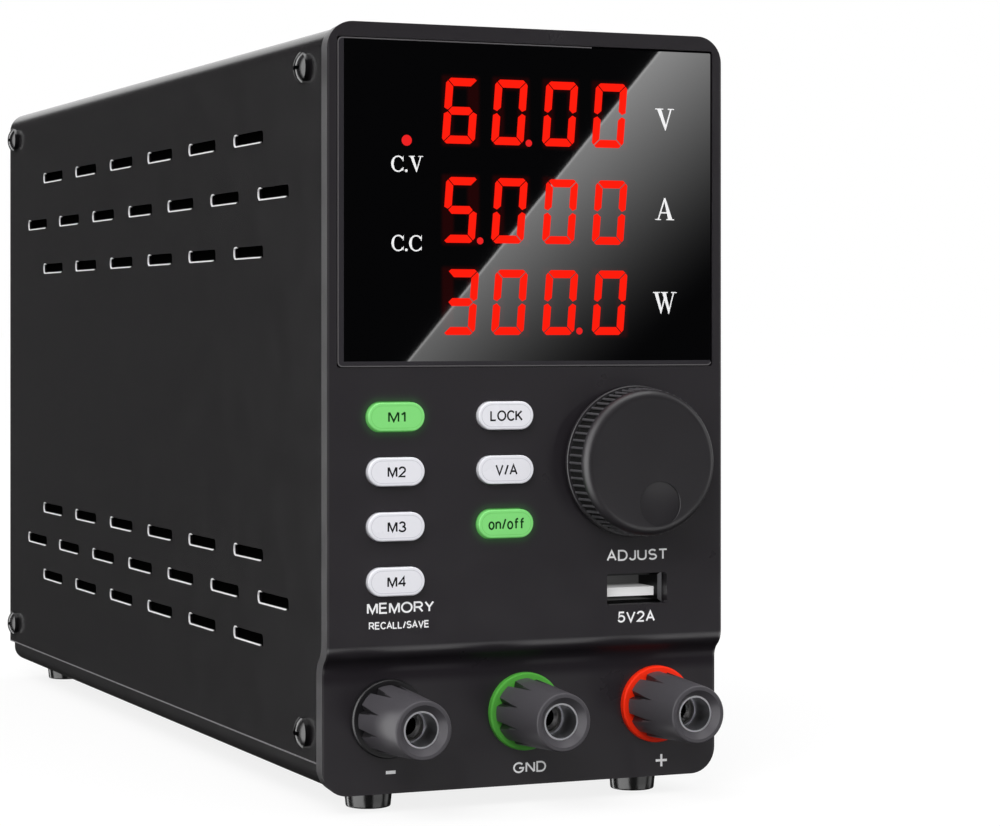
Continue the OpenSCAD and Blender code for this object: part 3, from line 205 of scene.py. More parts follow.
def makeWorld(s):
    world = bpy.data.worlds.new("studio")
    bpy.context.scene.world = world
    world.use_nodes = True
    tree = world.node_tree
    tree.nodes.clear()
    x, y, z = axesOf(tree, "Generated")
    heading = calc("DEGREES", calc("ARCTAN2", x, y))
    height = calc("DEGREES", calc("ARCSINE", z))

    def band(value, low, high, soft):
        fall = fade(value, high - soft, high + soft, 1.0, 0.0)
        return times(fade(value, low - soft, low + soft), fall)

    def lit(area):
        return times(band(heading, *area[:3]), band(height, *area[3:6]), area[6])

    # The card is lit fully at its crisp end and fades to the lower right
    ahead = calc("MAXIMUM", times(y, -1.0), 0.05)
    across = calc("DIVIDE", x, ahead)
    upward = calc("DIVIDE", z, ahead)
    start, slant = s["cardEdge"]
    beyond = minus(across, calc("MULTIPLY_ADD", upward, slant, start))
    lineFrom, lineTo, lineTone = s["cardLine"]
    line = times(fade(beyond, lineFrom, lineTo, 1.0, 0.0), lineTone)
    tone, byAcross, byHeight = s["cardTone"]
    tone = calc("MULTIPLY_ADD", across, byAcross, tone)
    tone = calc("MULTIPLY_ADD", upward, byHeight, tone)
    tone = calc("DIVIDE", calc("ADD", calc("MAXIMUM", tone, 0.0), line), 255)
    tone = calc("DIVIDE", calc("POWER", tone, s["cardGamma"]), s["cardShare"])
    near = times(band(across, *s["cardAcross"]), band(upward, *s["cardUp"]),
                 calc("LESS_THAN", y, s["cardAhead"]))
    card = times(fade(beyond, -0.0002, 0.0002), near, tone)

    topFrom, topTo, topStrength = s["topBox"]
    parts = [lit(area) for area in s["areas"]]
    parts += [times(fade(height, topFrom, topTo), topStrength), lit(s["frontFill"]), card]
    mirrored = s["dark"]
    for part in parts:
        mirrored = calc("ADD", part, mirrored)

    path, seen = directRays(tree)
    shine = calc("MINIMUM", mirrored, s["brightest"])
    plain = add(tree, "Mix", i0=path["Is Glossy Ray"], i2=s["softLight"], i3=shine)
    level = add(tree, "Mix", i0=seen, i2=plain, i3=1.0)
    background = add(tree, "Background", Color=(1, 1, 1, 1), Strength=level)
    add(tree, "OutputWorld", i0=background)


def makeLamps(s):
    for name, (place, power) in s["lamps"].items():
        data = bpy.data.lights.new(name, "AREA")
        data.shape = "DISK"
        data.size = s["lampSize"]
        data.energy = power
        lamp = newObject(name, data)
        lamp.location = place
        lamp.rotation_euler = (Vector(s["lampsAim"]) - Vector(place)).to_track_quat("-Z", "Y").to_euler()
        lamp.visible_glossy = False


def makeFloor(s):
    (x0, y0), (x1, y1) = s["floorFrom"], s["floorTo"]
    mesh = newMesh("floor", [(x0, y0, 0), (x1, y0, 0), (x1, y1, 0), (x0, y1, 0)], [(0, 1, 2, 3)])
    floor = newObject("floor", mesh)
    material = bpy.data.materials.new("paleFloor")
    material.use_nodes = True
    tree = material.node_tree
    tree.nodes.clear()
    seen = directRays(tree)[1]
    tone = s["floorTone"]
    matt = add(tree, "BsdfDiffuse", Color=(tone, tone, tone, 1))
    white = add(tree, "Emission", Color=(1, 1, 1, 1), Strength=times(seen, s["floorWhite"]))
    total = add(tree, "AddShader", i0=matt, i1=white)
    add(tree, "OutputMaterial", i0=total)
    mesh.materials.append(material)
    floor.visible_glossy = False


makeWorld(studio)
makeLamps(studio)
makeFloor(studio)
print("camera, studio and floor made")


def shade(*rgb):
    channels = [c / 255 for c in rgb]
    return tuple(c / 12.92 if c <= 0.04045 else ((c + 0.055) / 1.055) ** 2.4 for c in channels) + (1.0,)


finishes = {}


# Makes a finish; grain and bump are the width and the height of the fine relief, and patch the width of broad
# cloudiness, all in mm
def coat(name, rgb, rough, grain=0.3, bump=0.004, metal=0.0, gloss=0.5, spread=0.05, tint=0.05,
         patch=9.0, stretch=None, glow=None, power=0.0, see=0.0):
    material = bpy.data.materials.new(name)
    material.use_nodes = True
    tree = material.node_tree
    shader = tree.nodes["Principled BSDF"]
    place = add(tree, "TexCoord").outputs["Object"]
    if stretch:
        place = add(tree, "Mapping", Vector=place, Scale=stretch)
    fine = add(tree, "TexNoise", Vector=place, Scale=1 / (grain * mm), Detail=3.0, Roughness=0.6)
    if bump:
        relief = add(tree, "Bump", Height=fine, Strength=1.0, Distance=bump * mm)
        join(tree, relief, shader.inputs["Normal"])
    if spread:
        broad = add(tree, "TexNoise", Vector=place, Scale=1 / (patch * mm), Detail=4.0, Roughness=0.55)
        rougher = add(tree, "MapRange", Value=broad, From_Min=0.3, From_Max=0.7,
                      To_Min=max(rough - spread, 0.01), To_Max=min(rough + spread, 1.0))
        join(tree, rougher, shader.inputs["Roughness"])
    blend = add(tree, "Mix", {"data_type": "RGBA"}, Factor=fine)
    for i, change in ((6, 1 - tint), (7, 1 + tint)):
        blend.inputs[i].default_value = [min(c * change, 1) for c in shade(*rgb)[:3]] + [1]
    join(tree, blend.outputs[2], shader.inputs["Base Color"])
    values = {"Roughness": rough, "Metallic": metal, "Specular IOR Level": gloss, "Transmission Weight": see}
    if glow:
        values |= {"Emission Color": shade(*glow), "Emission Strength": power}
    for key, value in values.items():
        shader.inputs[key].default_value = value
    finishes[name] = material


coat("bezelPlastic", (36, 33, 37), 0.32, grain=0.22, bump=0.003)
coat("windowAcrylic", (2, 2, 3), 0.012, grain=6.0, bump=0, spread=0)
# Painted highlight: the lighter strip along the window's left and bottom edges
coat("windowMargin", (46, 44, 48), 0.2, grain=0.4, bump=0.001, gloss=0.2)
coat("coverPaint", (21, 19, 21), 0.16, grain=0.4, bump=0.0006, gloss=0.26, spread=0.01)
coat("trayPaint", (23, 21, 23), 0.18, grain=0.4, bump=0.0006, gloss=0.26, spread=0.01)
# Black of the sheets that stand in for the shade behind the vents
coat("screenBlack", (5, 5, 5), 0.9, grain=0.6, bump=0.02, gloss=0.0, tint=0.4)
coat("footRubber", (20, 19, 20), 0.2, grain=0.3, bump=0.002)
coat("screwBlack", (14, 13, 15), 0.22, grain=0.4, bump=0.001, gloss=0.6)
coat("screwZinc", (196, 196, 190), 0.3, grain=0.4, bump=0.002, metal=1.0)
coat("boardGreen", (24, 88, 52), 0.35, grain=1.4, bump=0.01, tint=0.25)
coat("digitCase", (178, 178, 172), 0.5)
coat("lampRed", (210, 60, 40), 0.2, glow=(255, 40, 25), power=0.6)
coat("switchPlastic", (46, 46, 49), 0.5)
coat("keyWhite", (240, 240, 246), 0.3, grain=0.5, bump=0.001, tint=0.01)
coat("keyGreen", (122, 202, 116), 0.3, grain=0.5, bump=0.001, tint=0.02, glow=(120, 230, 110), power=0.22)
coat("keyLine", (206, 206, 214), 0.4, grain=0.5, bump=0.001, tint=0.01)
coat("keyLineLit", (104, 190, 94), 0.4, grain=0.5, bump=0.001, tint=0.02, glow=(120, 230, 110), power=0.15)
coat("platedSteel", (186, 188, 192), 0.28, metal=1.0, stretch=(1, 0.1, 1))
coat("naturalPlastic", (226, 222, 205), 0.5)
coat("turnedAluminium", (200, 202, 206), 0.3, metal=1.0, stretch=(0.1, 1, 0.1))
coat("knobPlastic", (35, 33, 36), 0.4, grain=0.16, bump=0.003)
# Painted highlight on the knob's ridge crests, and painted shade in its grooves
coat("knobCrest", (84, 83, 86), 0.35, grain=0.16, bump=0.002)
coat("knobGroove", (12, 12, 12), 0.6, grain=0.16, bump=0.003, gloss=0.2)
# The USB tongue's own white, with a painted glow: it gives light though it is no lamp
coat("tongueWhite", (246, 246, 246), 0.35, glow=(255, 255, 255), power=0.2)
coat("ringBlack", (22, 21, 23), 0.4)
coat("ringGreen", (80, 164, 62), 0.5, gloss=0.2, tint=0.02)
coat("ringRed", (255, 46, 12), 0.5, gloss=0.2, tint=0.02)
coat("platedBrass", (214, 212, 206), 0.25, metal=1.0, stretch=(1, 0.2, 1))
coat("contactMetal", (214, 214, 218), 0.36, metal=1.0, stretch=(1, 0.2, 1))
coat("capPlastic", (76, 74, 78), 0.36, grain=0.2, bump=0.002, gloss=0.22)
# Painted shade in the caps' notches
coat("capGroove", (30, 29, 31), 0.4, grain=0.2, bump=0.002, gloss=0.3)
coat("fanPlastic", (24, 24, 25), 0.45)
coat("inletPlastic", (26, 26, 27), 0.5, grain=0.25, bump=0.006)
coat("rockerPlastic", (24, 24, 25), 0.25, bump=0.001)
coat("selectorRed", (190, 32, 24), 0.35)
coat("fuseGlass", (225, 230, 230), 0.05, see=0.85, bump=0)
coat("windingTape", (214, 178, 60), 0.4, grain=0.8, bump=0.01)
coat("capacitorSleeve", (28, 34, 60), 0.3)
coat("heatsinkAluminium", (176, 178, 182), 0.4, metal=1.0)
coat("printWhite", (252, 252, 253), 0.5, grain=0.4, bump=0, gloss=0.0, tint=0.004)
coat("printDark", (22, 22, 25), 0.5, grain=0.4, bump=0, gloss=0.1)
coat("printLit", (12, 52, 18), 0.5, grain=0.4, bump=0, gloss=0.1)
coat("digitGlow", (60, 4, 2), 0.5, grain=0.6, bump=0, gloss=0.0, glow=(255, 28, 12), power=1.0)
coat("pointGlow", (60, 4, 6), 0.5, grain=0.6, bump=0, gloss=0.0, glow=(232, 34, 34), power=1.0)
# Near-white bare sheet edge of the vents, also a painted highlight
coat("bareEdge", (250, 248, 250), 0.4, bump=0.002)
# Painted highlight: the light line along the window's edge
coat("windowLine", (92, 90, 92), 0.4, bump=0.001, gloss=0.2)
coat("socketSteel", (190, 190, 194), 0.3, metal=1.0, stretch=(1, 0.2, 1))
# Light grey of a painted highlight along the cover's lower edge
coat("seamEdge", (118, 116, 118), 0.4, bump=0.002, gloss=0.2)

# A slot's finish has its name in camel case, apart from these
oddSlots = {"circuit_board": "boardGreen", "tongue_plastic": "tongueWhite"}


def finishOf(slot):
    first, *others = slot.split("_")
    return oddSlots.get(slot, first + "".join(other.title() for other in others))


nodeSlot = {n["node"]: n["material_slot"] for n in frame["record"]["subparts"]}
nodeBody = {n: body for body, members in frame["record"]["behaviour"]["bodies"].items() for n in members}

for name, node in nodes.items():
    node.data.materials.clear()
    node.data.materials.append(finishes[finishOf(nodeSlot[name])])


def shaderOf(finish):
    tree = finishes[finish].node_tree
    return tree, tree.nodes["Principled BSDF"]


litKeys = {"keys": ("key_m1", "key_output"), "corner": 2.9, "halfWidth": 6.1, "under": 0.4, "reach": 2.6,
           "tone": (110, 235, 120), "strength": 0.055}


# The lit keys' light on the bezel round them, fading with the distance from each key's outline
def addKeyGlow(s):
    tree, shader = shaderOf("bezelPlastic")
    x, y, z = axesOf(tree)
    corner = s["corner"] * mm
    straight = s["halfWidth"] * mm - corner
    total = 0.0
    for key in s["keys"]:
        low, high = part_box(key)
        place = (low + high) / 2
        along = calc("ABSOLUTE", minus(x, place.x))
        along = calc("MAXIMUM", minus(along, straight), 0.0)
        over = minus(z, place.z)
        away = calc("SQRT", calc("MULTIPLY_ADD", along, along, times(over, over)))
        soft = fade(away, corner - s["under"] * mm, corner + s["reach"] * mm, 1.0, 0.0)
        total = calc("ADD", times(soft, soft), total)
    shader.inputs["Emission Color"].default_value = shade(*s["tone"])
    join(tree, times(total, s["strength"]), shader.inputs["Emission Strength"])


addKeyGlow(litKeys)

bezelGloss = {"hollow": (21.5, 29.4), "soft": 2.2, "least": 0.08, "plain": 0.5, "sides": 43.65, "sideSoft": 0.2,
              "most": 1.0}


# The bezel is matt in the hollow under its step, and polished along its outer sides
def varyBezelGloss(s):
    tree, shader = shaderOf("bezelPlastic")
    x, y, z = axesOf(tree)
    z = calc("DIVIDE", minus(z, caseUnder), mm)
    x = calc("DIVIDE", calc("ABSOLUTE", x), mm)
    (z0, z1), soft = s["hollow"], s["soft"]
    inside = times(fade(z, z0, z0 + soft), fade(z, z1 - soft, z1, 1.0, 0.0))
    gloss = add(tree, "MapRange", Value=inside, To_Min=s["plain"], To_Max=s["least"])
    polished = fade(x, s["sides"] - s["sideSoft"], s["sides"], 0.0, s["most"] - s["plain"])
    join(tree, calc("ADD", gloss, polished), shader.inputs["Specular IOR Level"])


varyBezelGloss(bezelGloss)

# Depths in mm on the case's y axis between which shade is painted into a finish's colour, and how much of the colour
# is left
paintedInsideShade = {"socketSteel": (1.9, 2.5, 0.05), "tongueWhite": (6.0, 12.0, 0.12), "platedBrass": (-30.0, -29.0, 0.3)}


# Painted shade: what lies deep inside an opening gets a darker colour and a weaker glow, standing in for the shade
# where no light reaches it
def paintInsideShade(finish, y0, y1, least):
    tree, shader = shaderOf(finish)
    level = fade(axesOf(tree)[1], caseFront + y0 * mm, caseFront + y1 * mm, 1.0, least)
    mixed = add(tree, "Mix", {"data_type": "RGBA", "blend_type": "MULTIPLY"}, Factor=1.0)
    join(tree, shader.inputs["Base Color"].links[0].from_socket, mixed.inputs[6])
    join(tree, level, mixed.inputs[7])
    join(tree, mixed.outputs[2], shader.inputs["Base Color"])
    glow = shader.inputs["Emission Strength"].default_value
    if glow:
        join(tree, times(level, glow), shader.inputs["Emission Strength"])


for finish, depths in paintedInsideShade.items():
    paintInsideShade(finish, *depths)
nodes["usb_shell"].data.materials[0] = finishes["socketSteel"]
print("finishes given to", len(nodes), "nodes")


# Hands the mesh to a change as a bmesh, and takes it back
def rework(mesh, change):
    work = bmesh.new()
    work.from_mesh(mesh)
    change(work)
    work.to_mesh(mesh)
    work.free()
    return mesh


def markSharp(work, degrees):
    for edge in work.edges:
        edge.smooth = len(edge.link_faces) == 2 and edge.calc_face_angle(0) < radians(degrees)


def addPiece(name, mesh, finish, body, replaces=(), degrees=35):
    if finish:
        mesh.materials.clear()
        mesh.materials.append(finishes[finish])
    if degrees:
        mesh.shade_smooth()
        rework(mesh, lambda work: markSharp(work, degrees))
    piece = newObject(name, mesh)
    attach(piece, body)
    if replaces:
        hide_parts(*replaces)


def evaluatedMesh(holder):
    bpy.context.view_layer.update()
    seen = bpy.context.evaluated_depsgraph_get()
    mesh = bpy.data.meshes.new_from_object(holder.evaluated_get(seen), preserve_all_data_layers=True, depsgraph=seen)
    bpy.data.objects.remove(holder)
    return mesh


def closedMesh(name, points, faces):
    def close(work):
        bmesh.ops.remove_doubles(work, verts=work.verts, dist=1e-6)
        bmesh.ops.recalc_face_normals(work, faces=work.faces)

    return rework(newMesh(name, points, faces), close)


# A skin through rings that have the same number of points, closed at both ends
def skin(rings):
    count = len(rings[0])
    points = [p for ring in rings for p in ring]
    faces = []
    for k in range(len(rings) - 1):
        for i in range(count):
            j = (i + 1) % count
            faces.append((k * count + i, k * count + j, (k + 1) * count + j, (k + 1) * count + i))
    faces.append(tuple(range(count))[::-1])
    faces.append(tuple((len(rings) - 1) * count + i for i in range(count)))
    return points, faces


# A CAD node's mesh merged and its edges rounded; flat faces keep flat shading through weighted normals
def roundedCopy(name, width, move, corner=32):
    def change(work):
        bmesh.ops.remove_doubles(work, verts=work.verts, dist=2e-6)
        bmesh.ops.dissolve_limit(work, angle_limit=radians(1.0), verts=work.verts, edges=work.edges)
        if move:
            for v in work.verts:
                v.co = move(v.co)
        for part in (*work.faces, *work.edges):
            part.smooth = True
        if not width:
            markSharp(work, corner)

    holder = newObject(name + "Work", rework(nodes[name].data.copy(), change))
    holder.data.name = name + "Rounded"
    if width:
        bevel = holder.modifiers.new("edges", "BEVEL")
        bevel.width = width * mm
        bevel.segments = 2
        bevel.limit_method = "ANGLE"
        bevel.angle_limit = radians(corner)
    weighted = holder.modifiers.new("flatFaces", "WEIGHTED_NORMAL")
    weighted.mode = "FACE_AREA"
    weighted.weight = 100
    weighted.keep_sharp = True
    return evaluatedMesh(holder)


rimShape = {"draft": 0.35, "depth": 4.3, "corner": 5.5, "width": 88.0, "height": 155.0, "skip": 0.4,
            "step": (24.3, 30.3, 3.0)}


# The bezel's outer wall leans in towards its rear edge, as it must to leave its mould
def leanRim(co):
    s = rimShape
    p = inCase(co)
    sideways = abs(p.x) - (s["width"] / 2 - s["corner"])
    upward = abs(p.z - s["height"] / 2) - (s["height"] / 2 - s["corner"])
    if sideways > 0 and upward > 0:
        away = hypot(sideways, upward)
        lean = (sideways / away, upward / away)
        reach = away - s["corner"]
    else:
        lean = (1, 0) if sideways > upward else (0, 1)
        reach = max(sideways, upward) - s["corner"]
    if reach < -s["skip"]:
        return co
    low, high, depth = s["step"]
    face = depth * min(max((high - p.z) / (high - low), 0), 1)
    inwards = s["draft"] * min(max((p.y - face) / s["depth"], 0), 1)
    p.x -= copysign(inwards * lean[0], p.x)
    p.z -= copysign(inwards * lean[1], p.z - s["height"] / 2)
    return onCase(*p)


roundedNodes = (
    (0.25, "front_bezel"), (0, "cover_shell", "chassis_tray"),
    (0.35, "key_m1", "key_m2", "key_m3", "key_m4", "key_lock", "key_display", "key_output"),
    (0.08, "negative_ring", "ground_ring", "positive_ring"), (0.5, "rubber_feet"),
    (0.25, "fan_frame", "mains_inlet", "switch_frame"), (0.3, "switch_rocker"), (0.25, "fuse_drawer"),
    (0.15, "selector_body", "selector_slider"), (0, "fan_rotor"),
)

for width, *names in roundedNodes:
    for name in names:
        mesh = roundedCopy(name, width, leanRim if name == "front_bezel" else None)
        addPiece(name + "Rounded", mesh, finishOf(nodeSlot[name]), nodeBody[name], [name], degrees=0)
print("rounded copies made")


def combine(**axes):
    return add(treeOf(*axes.values()), "ShaderNodeCombineXYZ", **axes)


def moved(piece, **axes):
    return add(treeOf(piece), "Transform", Geometry=piece, Translation=combine(**axes))


def block(x, y, z):
    size = combine(X=x, Y=y, Z=z)
    return add(treeOf(size), "MeshCube", Size=size)


def halved(value):
    return calc("DIVIDE", value, 2.0)


# Every tree makes one piece and sets it on the points it is given, each turned by its own angles
def startTree(name, sizes):
    tree = bpy.data.node_groups.new(name, "GeometryNodeTree")
    tree.interface.new_socket("Geometry", in_out="INPUT", socket_type="NodeSocketGeometry")
    for label, value in sizes.items():
        kind = "NodeSocketInt" if isinstance(value, int) else "NodeSocketFloat"
        tree.interface.new_socket(label, in_out="INPUT", socket_type=kind).default_value = value
    tree.interface.new_socket("Finish", in_out="INPUT", socket_type="NodeSocketMaterial")
    tree.interface.new_socket("Geometry", in_out="OUTPUT", socket_type="NodeSocketGeometry")
    return tree, tree.nodes.new("NodeGroupInput").outputs


def endTree(tree, given, piece):
    turn = add(tree, "InputNamedAttribute", {"data_type": "FLOAT_VECTOR"}, Name="turn")
    turn = add(tree, "FunctionNodeEulerToRotation", i0=turn)
    spread = add(tree, "InstanceOnPoints", Points=given["Geometry"], Instance=piece, Rotation=turn)
    real = add(tree, "RealizeInstances", i0=spread)
    dressed = add(tree, "SetMaterial", Geometry=real, Material=given["Finish"])
    join(tree, dressed, tree.nodes.new("NodeGroupOutput").inputs[0])


def growPieces(name, tree, places, finish, body, replaces=()):
    mesh = newMesh(name + "Points", [onCase(*place) for place, turn in places])
    turns = mesh.attributes.new("turn", "FLOAT_VECTOR", "POINT")
    for i, (place, turn) in enumerate(places):
        turns.data[i].vector = [radians(a) for a in turn]
    holder = newObject(name + "Work", mesh)
    modifier = holder.modifiers.new("nodes", "NODES")
    modifier.node_group = tree
    for item in tree.interface.items_tree:
        if item.name == "Finish":
            modifier[item.identifier] = finishes[finish]
    made = evaluatedMesh(holder)
    made.name = name
    addPiece(name, made, None, body, replaces)


ventRims = {"Length": 20.0 * mm, "Height": 3.3 * mm, "Corner": 1.0 * mm, "Line": 0.3 * mm, "Depth": 0.3 * mm,
            "Lip": 0.8 * mm, "From": 0.425, "To": 0.93}
ventPlaces = {"first": 35.15, "pitch": 33.0, "count": 7, "rows": (27.3, 36.3, 45.3, 109.7, 121.9, 134.1),
              "rimIn": 0.14, "lipIn": 0.05}


# Each vent slot has a lip turned up along its lower side, and a near-white line along the lip and
# the rear end: the bare sheet edge, with a painted highlight on the sides that face the light
def makeVentRims(s, v):
    tree, given = startTree("ventRim", s)
    clear = minus(given["Height"], given["Lip"])
    slot = add(tree, "CurvePrimitiveQuadrilateral", Width=given["Length"], Height=clear)
    slot = add(tree, "FilletCurve", {"mode": "POLY"}, Curve=slot, Count=5, Radius=given["Corner"])
    part = add(tree, "TrimCurve", Curve=slot, Start=given["From"], End=given["To"])
    wire = add(tree, "CurvePrimitiveQuadrilateral", Width=given["Line"], Height=given["Depth"])
    strip = add(tree, "CurveToMesh", Curve=part, Profile_Curve=wire, Fill_Caps=True)
    endTree(tree, given, moved(strip, Y=halved(given["Lip"])))

    lip, given = startTree("ventLip", s)
    wide = minus(given["Length"], given["Corner"])
    drop = halved(minus(given["Lip"], given["Height"]))
    endTree(lip, given, moved(block(wide, given["Lip"], given["Depth"]), Y=drop))

    side = -caseBox("cover_shell")[0].x - v["rimIn"]
    places = []
    for row, z in enumerate(v["rows"]):
        long = row % 3 == 1
        for i in range(v["count"] if long else v["count"] - 1):
            y = v["first"] + (i + (0 if long else 0.5)) * v["pitch"]
            places += [((-side, y, z), (90, 0, -90)), ((side, y, z), (90, 0, 90))]
    growPieces("ventRims", tree, places, "bareEdge", "case")
    places = [((x - copysign(v["lipIn"], x), y, z), turn) for (x, y, z), turn in places]
    growPieces("ventLips", lip, places, "coverPaint", "case")


makeVentRims(ventRims, ventPlaces)

coverScrews = {"Head": 6.4 * mm, "Height": 2.1 * mm, "Dome": 4.8 * mm, "Slot": 0.8 * mm, "Cross": 3.5 * mm,
               "Sunk": 1.2 * mm, "Shank": 3.0 * mm, "Length": 5.0 * mm}
screwSpots = {"ys": (15.5, 258.0), "zs": (11.5, 146.7), "gap": 0.02}


# Pan head screws with a cross recess, each looking along its own axis
def makeScrews(s, spots):
    tree, given = startTree("panScrew", s)
    radius = halved(given["Head"])
    rod = add(tree, "MeshCylinder", Vertices=40, Radius=radius, Depth=given["Height"])
    rod = moved(rod, Z=halved(given["Height"]))
    ball = add(tree, "MeshUVSphere", Segments=48, Rings=48, Radius=given["Dome"])
    ball = moved(ball, Z=minus(given["Height"], given["Dome"]))
    head = add(tree, "MeshBoolean", {"operation": "INTERSECT"})
    join(tree, rod, head.inputs["Mesh 2"])
    join(tree, ball, head.inputs["Mesh 2"])
    cross = add(tree, "MeshBoolean", {"operation": "DIFFERENCE"})
    join(tree, head, cross.inputs["Mesh 1"])
    deep = times(given["Sunk"], 2.0)
    for wide, long in ((given["Slot"], given["Cross"]), (given["Cross"], given["Slot"])):
        tool = moved(block(wide, long, deep), Z=given["Height"])
        join(tree, tool, cross.inputs["Mesh 2"])
    thin = halved(given["Shank"])
    stem = add(tree, "MeshCylinder", Vertices=24, Radius=thin, Depth=given["Length"])
    both = add(tree, "JoinGeometry")
    join(tree, moved(stem, Z=calc("DIVIDE", given["Length"], -2.0)), both.inputs[0])
    join(tree, cross, both.inputs[0])
    endTree(tree, given, both)
    seat = -caseBox("cover_shell")[0].x + spots["gap"]
    places = [((side * seat, y, z), (0, 90 * side, 0)) for y in spots["ys"] for z in spots["zs"] for side in (-1, 1)]
    growPieces("coverScrews", tree, places, "screwBlack", "case", ["cover_screws"])


makeScrews(coverScrews, screwSpots)

knobRidges = {"Count": 60, "FrontRadius": 14.86 * mm, "BackRadius": 15.0 * mm, "FrontY": -7.5 * mm,
              "BackY": -2.1 * mm, "Width": 0.56 * mm}
knobBody = {
    "core": 14.72, "flange": 15.7, "flangeFrom": -2.0, "under": -0.9, "face": 15.0, "edge": 1.95, "reach": 9.2,
    "dimple": (2.0, -8.5, 9.2), "bevel": 0.15, "wall": 0.42, "dish": 0.4, "hollow": (11.5, -4.2), "steps": 96,
}


# The ridges have the lighter crest colour, a painted highlight
def makeKnobRidges(s, centre):
    tree, given = startTree("knobRidges", s)
    start = combine(X=given["FrontRadius"], Y=given["FrontY"])
    end = combine(X=given["BackRadius"], Y=given["BackY"])
    line = add(tree, "CurvePrimitiveLine", Start=start, End=end)
    crest = add(tree, "CurvePrimitiveCircle", Resolution=8, Radius=halved(given["Width"]))
    bar = add(tree, "CurveToMesh", Curve=line, Profile_Curve=crest, Fill_Caps=True)
    ring = add(tree, "MeshLine", Count=given["Count"], Offset=(0, 0, 0))
    step = calc("DIVIDE", 2 * pi, given["Count"])
    angle = times(add(tree, "InputIndex"), step)
    turn = add(tree, "FunctionNodeEulerToRotation", i0=combine(Y=angle))
    bars = add(tree, "InstanceOnPoints", Points=ring, Instance=bar, Rotation=turn)
    endTree(tree, given, add(tree, "RealizeInstances", i0=bars))
    growPieces("knobRidges", tree, [(centre, (0, 0, 0))], "knobCrest", "knob")


def ringPoints(centre, radius, y, steps, offset=(0, 0)):
    x, z = centre[0] + offset[0], centre[2] + offset[1]
    turns = (2 * pi * i / steps for i in range(steps))
    return [onCase(x + radius * cos(a), y, z + radius * sin(a)) for a in turns]


# Faces that the test picks, by their distance from the centre and their y, get a second finish
def paintFaces(mesh, finish, centre, test):
    mesh.materials.append(finishes[finish])
    for face in mesh.polygons:
        p = inCase(face.center)
        if test(hypot(p.x - centre[0], p.z - centre[2]), p.y):
            face.material_index = 1


# The knob: hollow behind, a flange, a rounded edge and a flat face with an off-centre finger dimple
def makeKnob(s, centre):
    steps, reach, edge, core = s["steps"], s["reach"], s["edge"], s["core"]
    flange, flangeY, under, bevel = s["flange"], s["flangeFrom"], s["under"], s["bevel"]
    dx, dz, across = s["dimple"]
    bore, boreY = s["hollow"]
    profile = [(0.6, boreY), (bore, boreY), (bore, under), (flange - bevel, under), (flange, under - bevel),
               (flange, flangeY + bevel), (flange - bevel, flangeY), (core + 0.3, flangeY), (core, flangeY - bevel),
               (core - 0.12, edge - reach + 0.3)]
    profile += [(s["face"] - edge + edge * cos(radians(a)), edge - reach - edge * sin(radians(a)))
                for a in range(0, 91, 9)]
    rings = [ringPoints(centre, r, y, steps) for r, y in profile]
    dimple = [(across / 2 + 0.05, 0), (across / 2, 0.05), (across / 2, s["wall"])]
    for k in range(1, 9):
        r = across / 2 * (1 - k / 8.2)
        dimple.append((r, s["wall"] + s["dish"] * (1 - (2 * r / across) ** 2)))
    rings += [ringPoints(centre, r, y - reach, steps, (dx, dz)) for r, y in dimple]
    mesh = closedMesh("adjustKnob", *skin(rings))
    addPiece("adjustKnob", mesh, "knobPlastic", "knob", ["adjust_knob"], 28)
    # Painted shade: the grooves between the ridges get a darker finish
    paintFaces(mesh, "knobGroove", centre,
               lambda away, y: core - 0.3 < away < core + 0.2 and edge - reach + 0.2 < y < flangeY)


knobMiddle = middle("adjust_knob")
knobPlace = (knobMiddle.x, 0.0, knobMiddle.z)
makeKnobRidges(knobRidges, knobPlace)
makeKnob(knobBody, knobPlace)
print("vent rims, screws and knob made")

postCaps = {
    "face": 3.0, "base": 1.6, "reach": 20.0, "baseRadius": 6.9, "faceRadius": 5.9, "notches": 9, "width": 1.9,
    "depth": 1.05, "length": 9.5, "bore": 3.72, "bottom": 3.35, "skirt": 5.2, "dish": 1.4, "dishRadius": 5.0,
    "edge": 0.45, "between": 8,
}


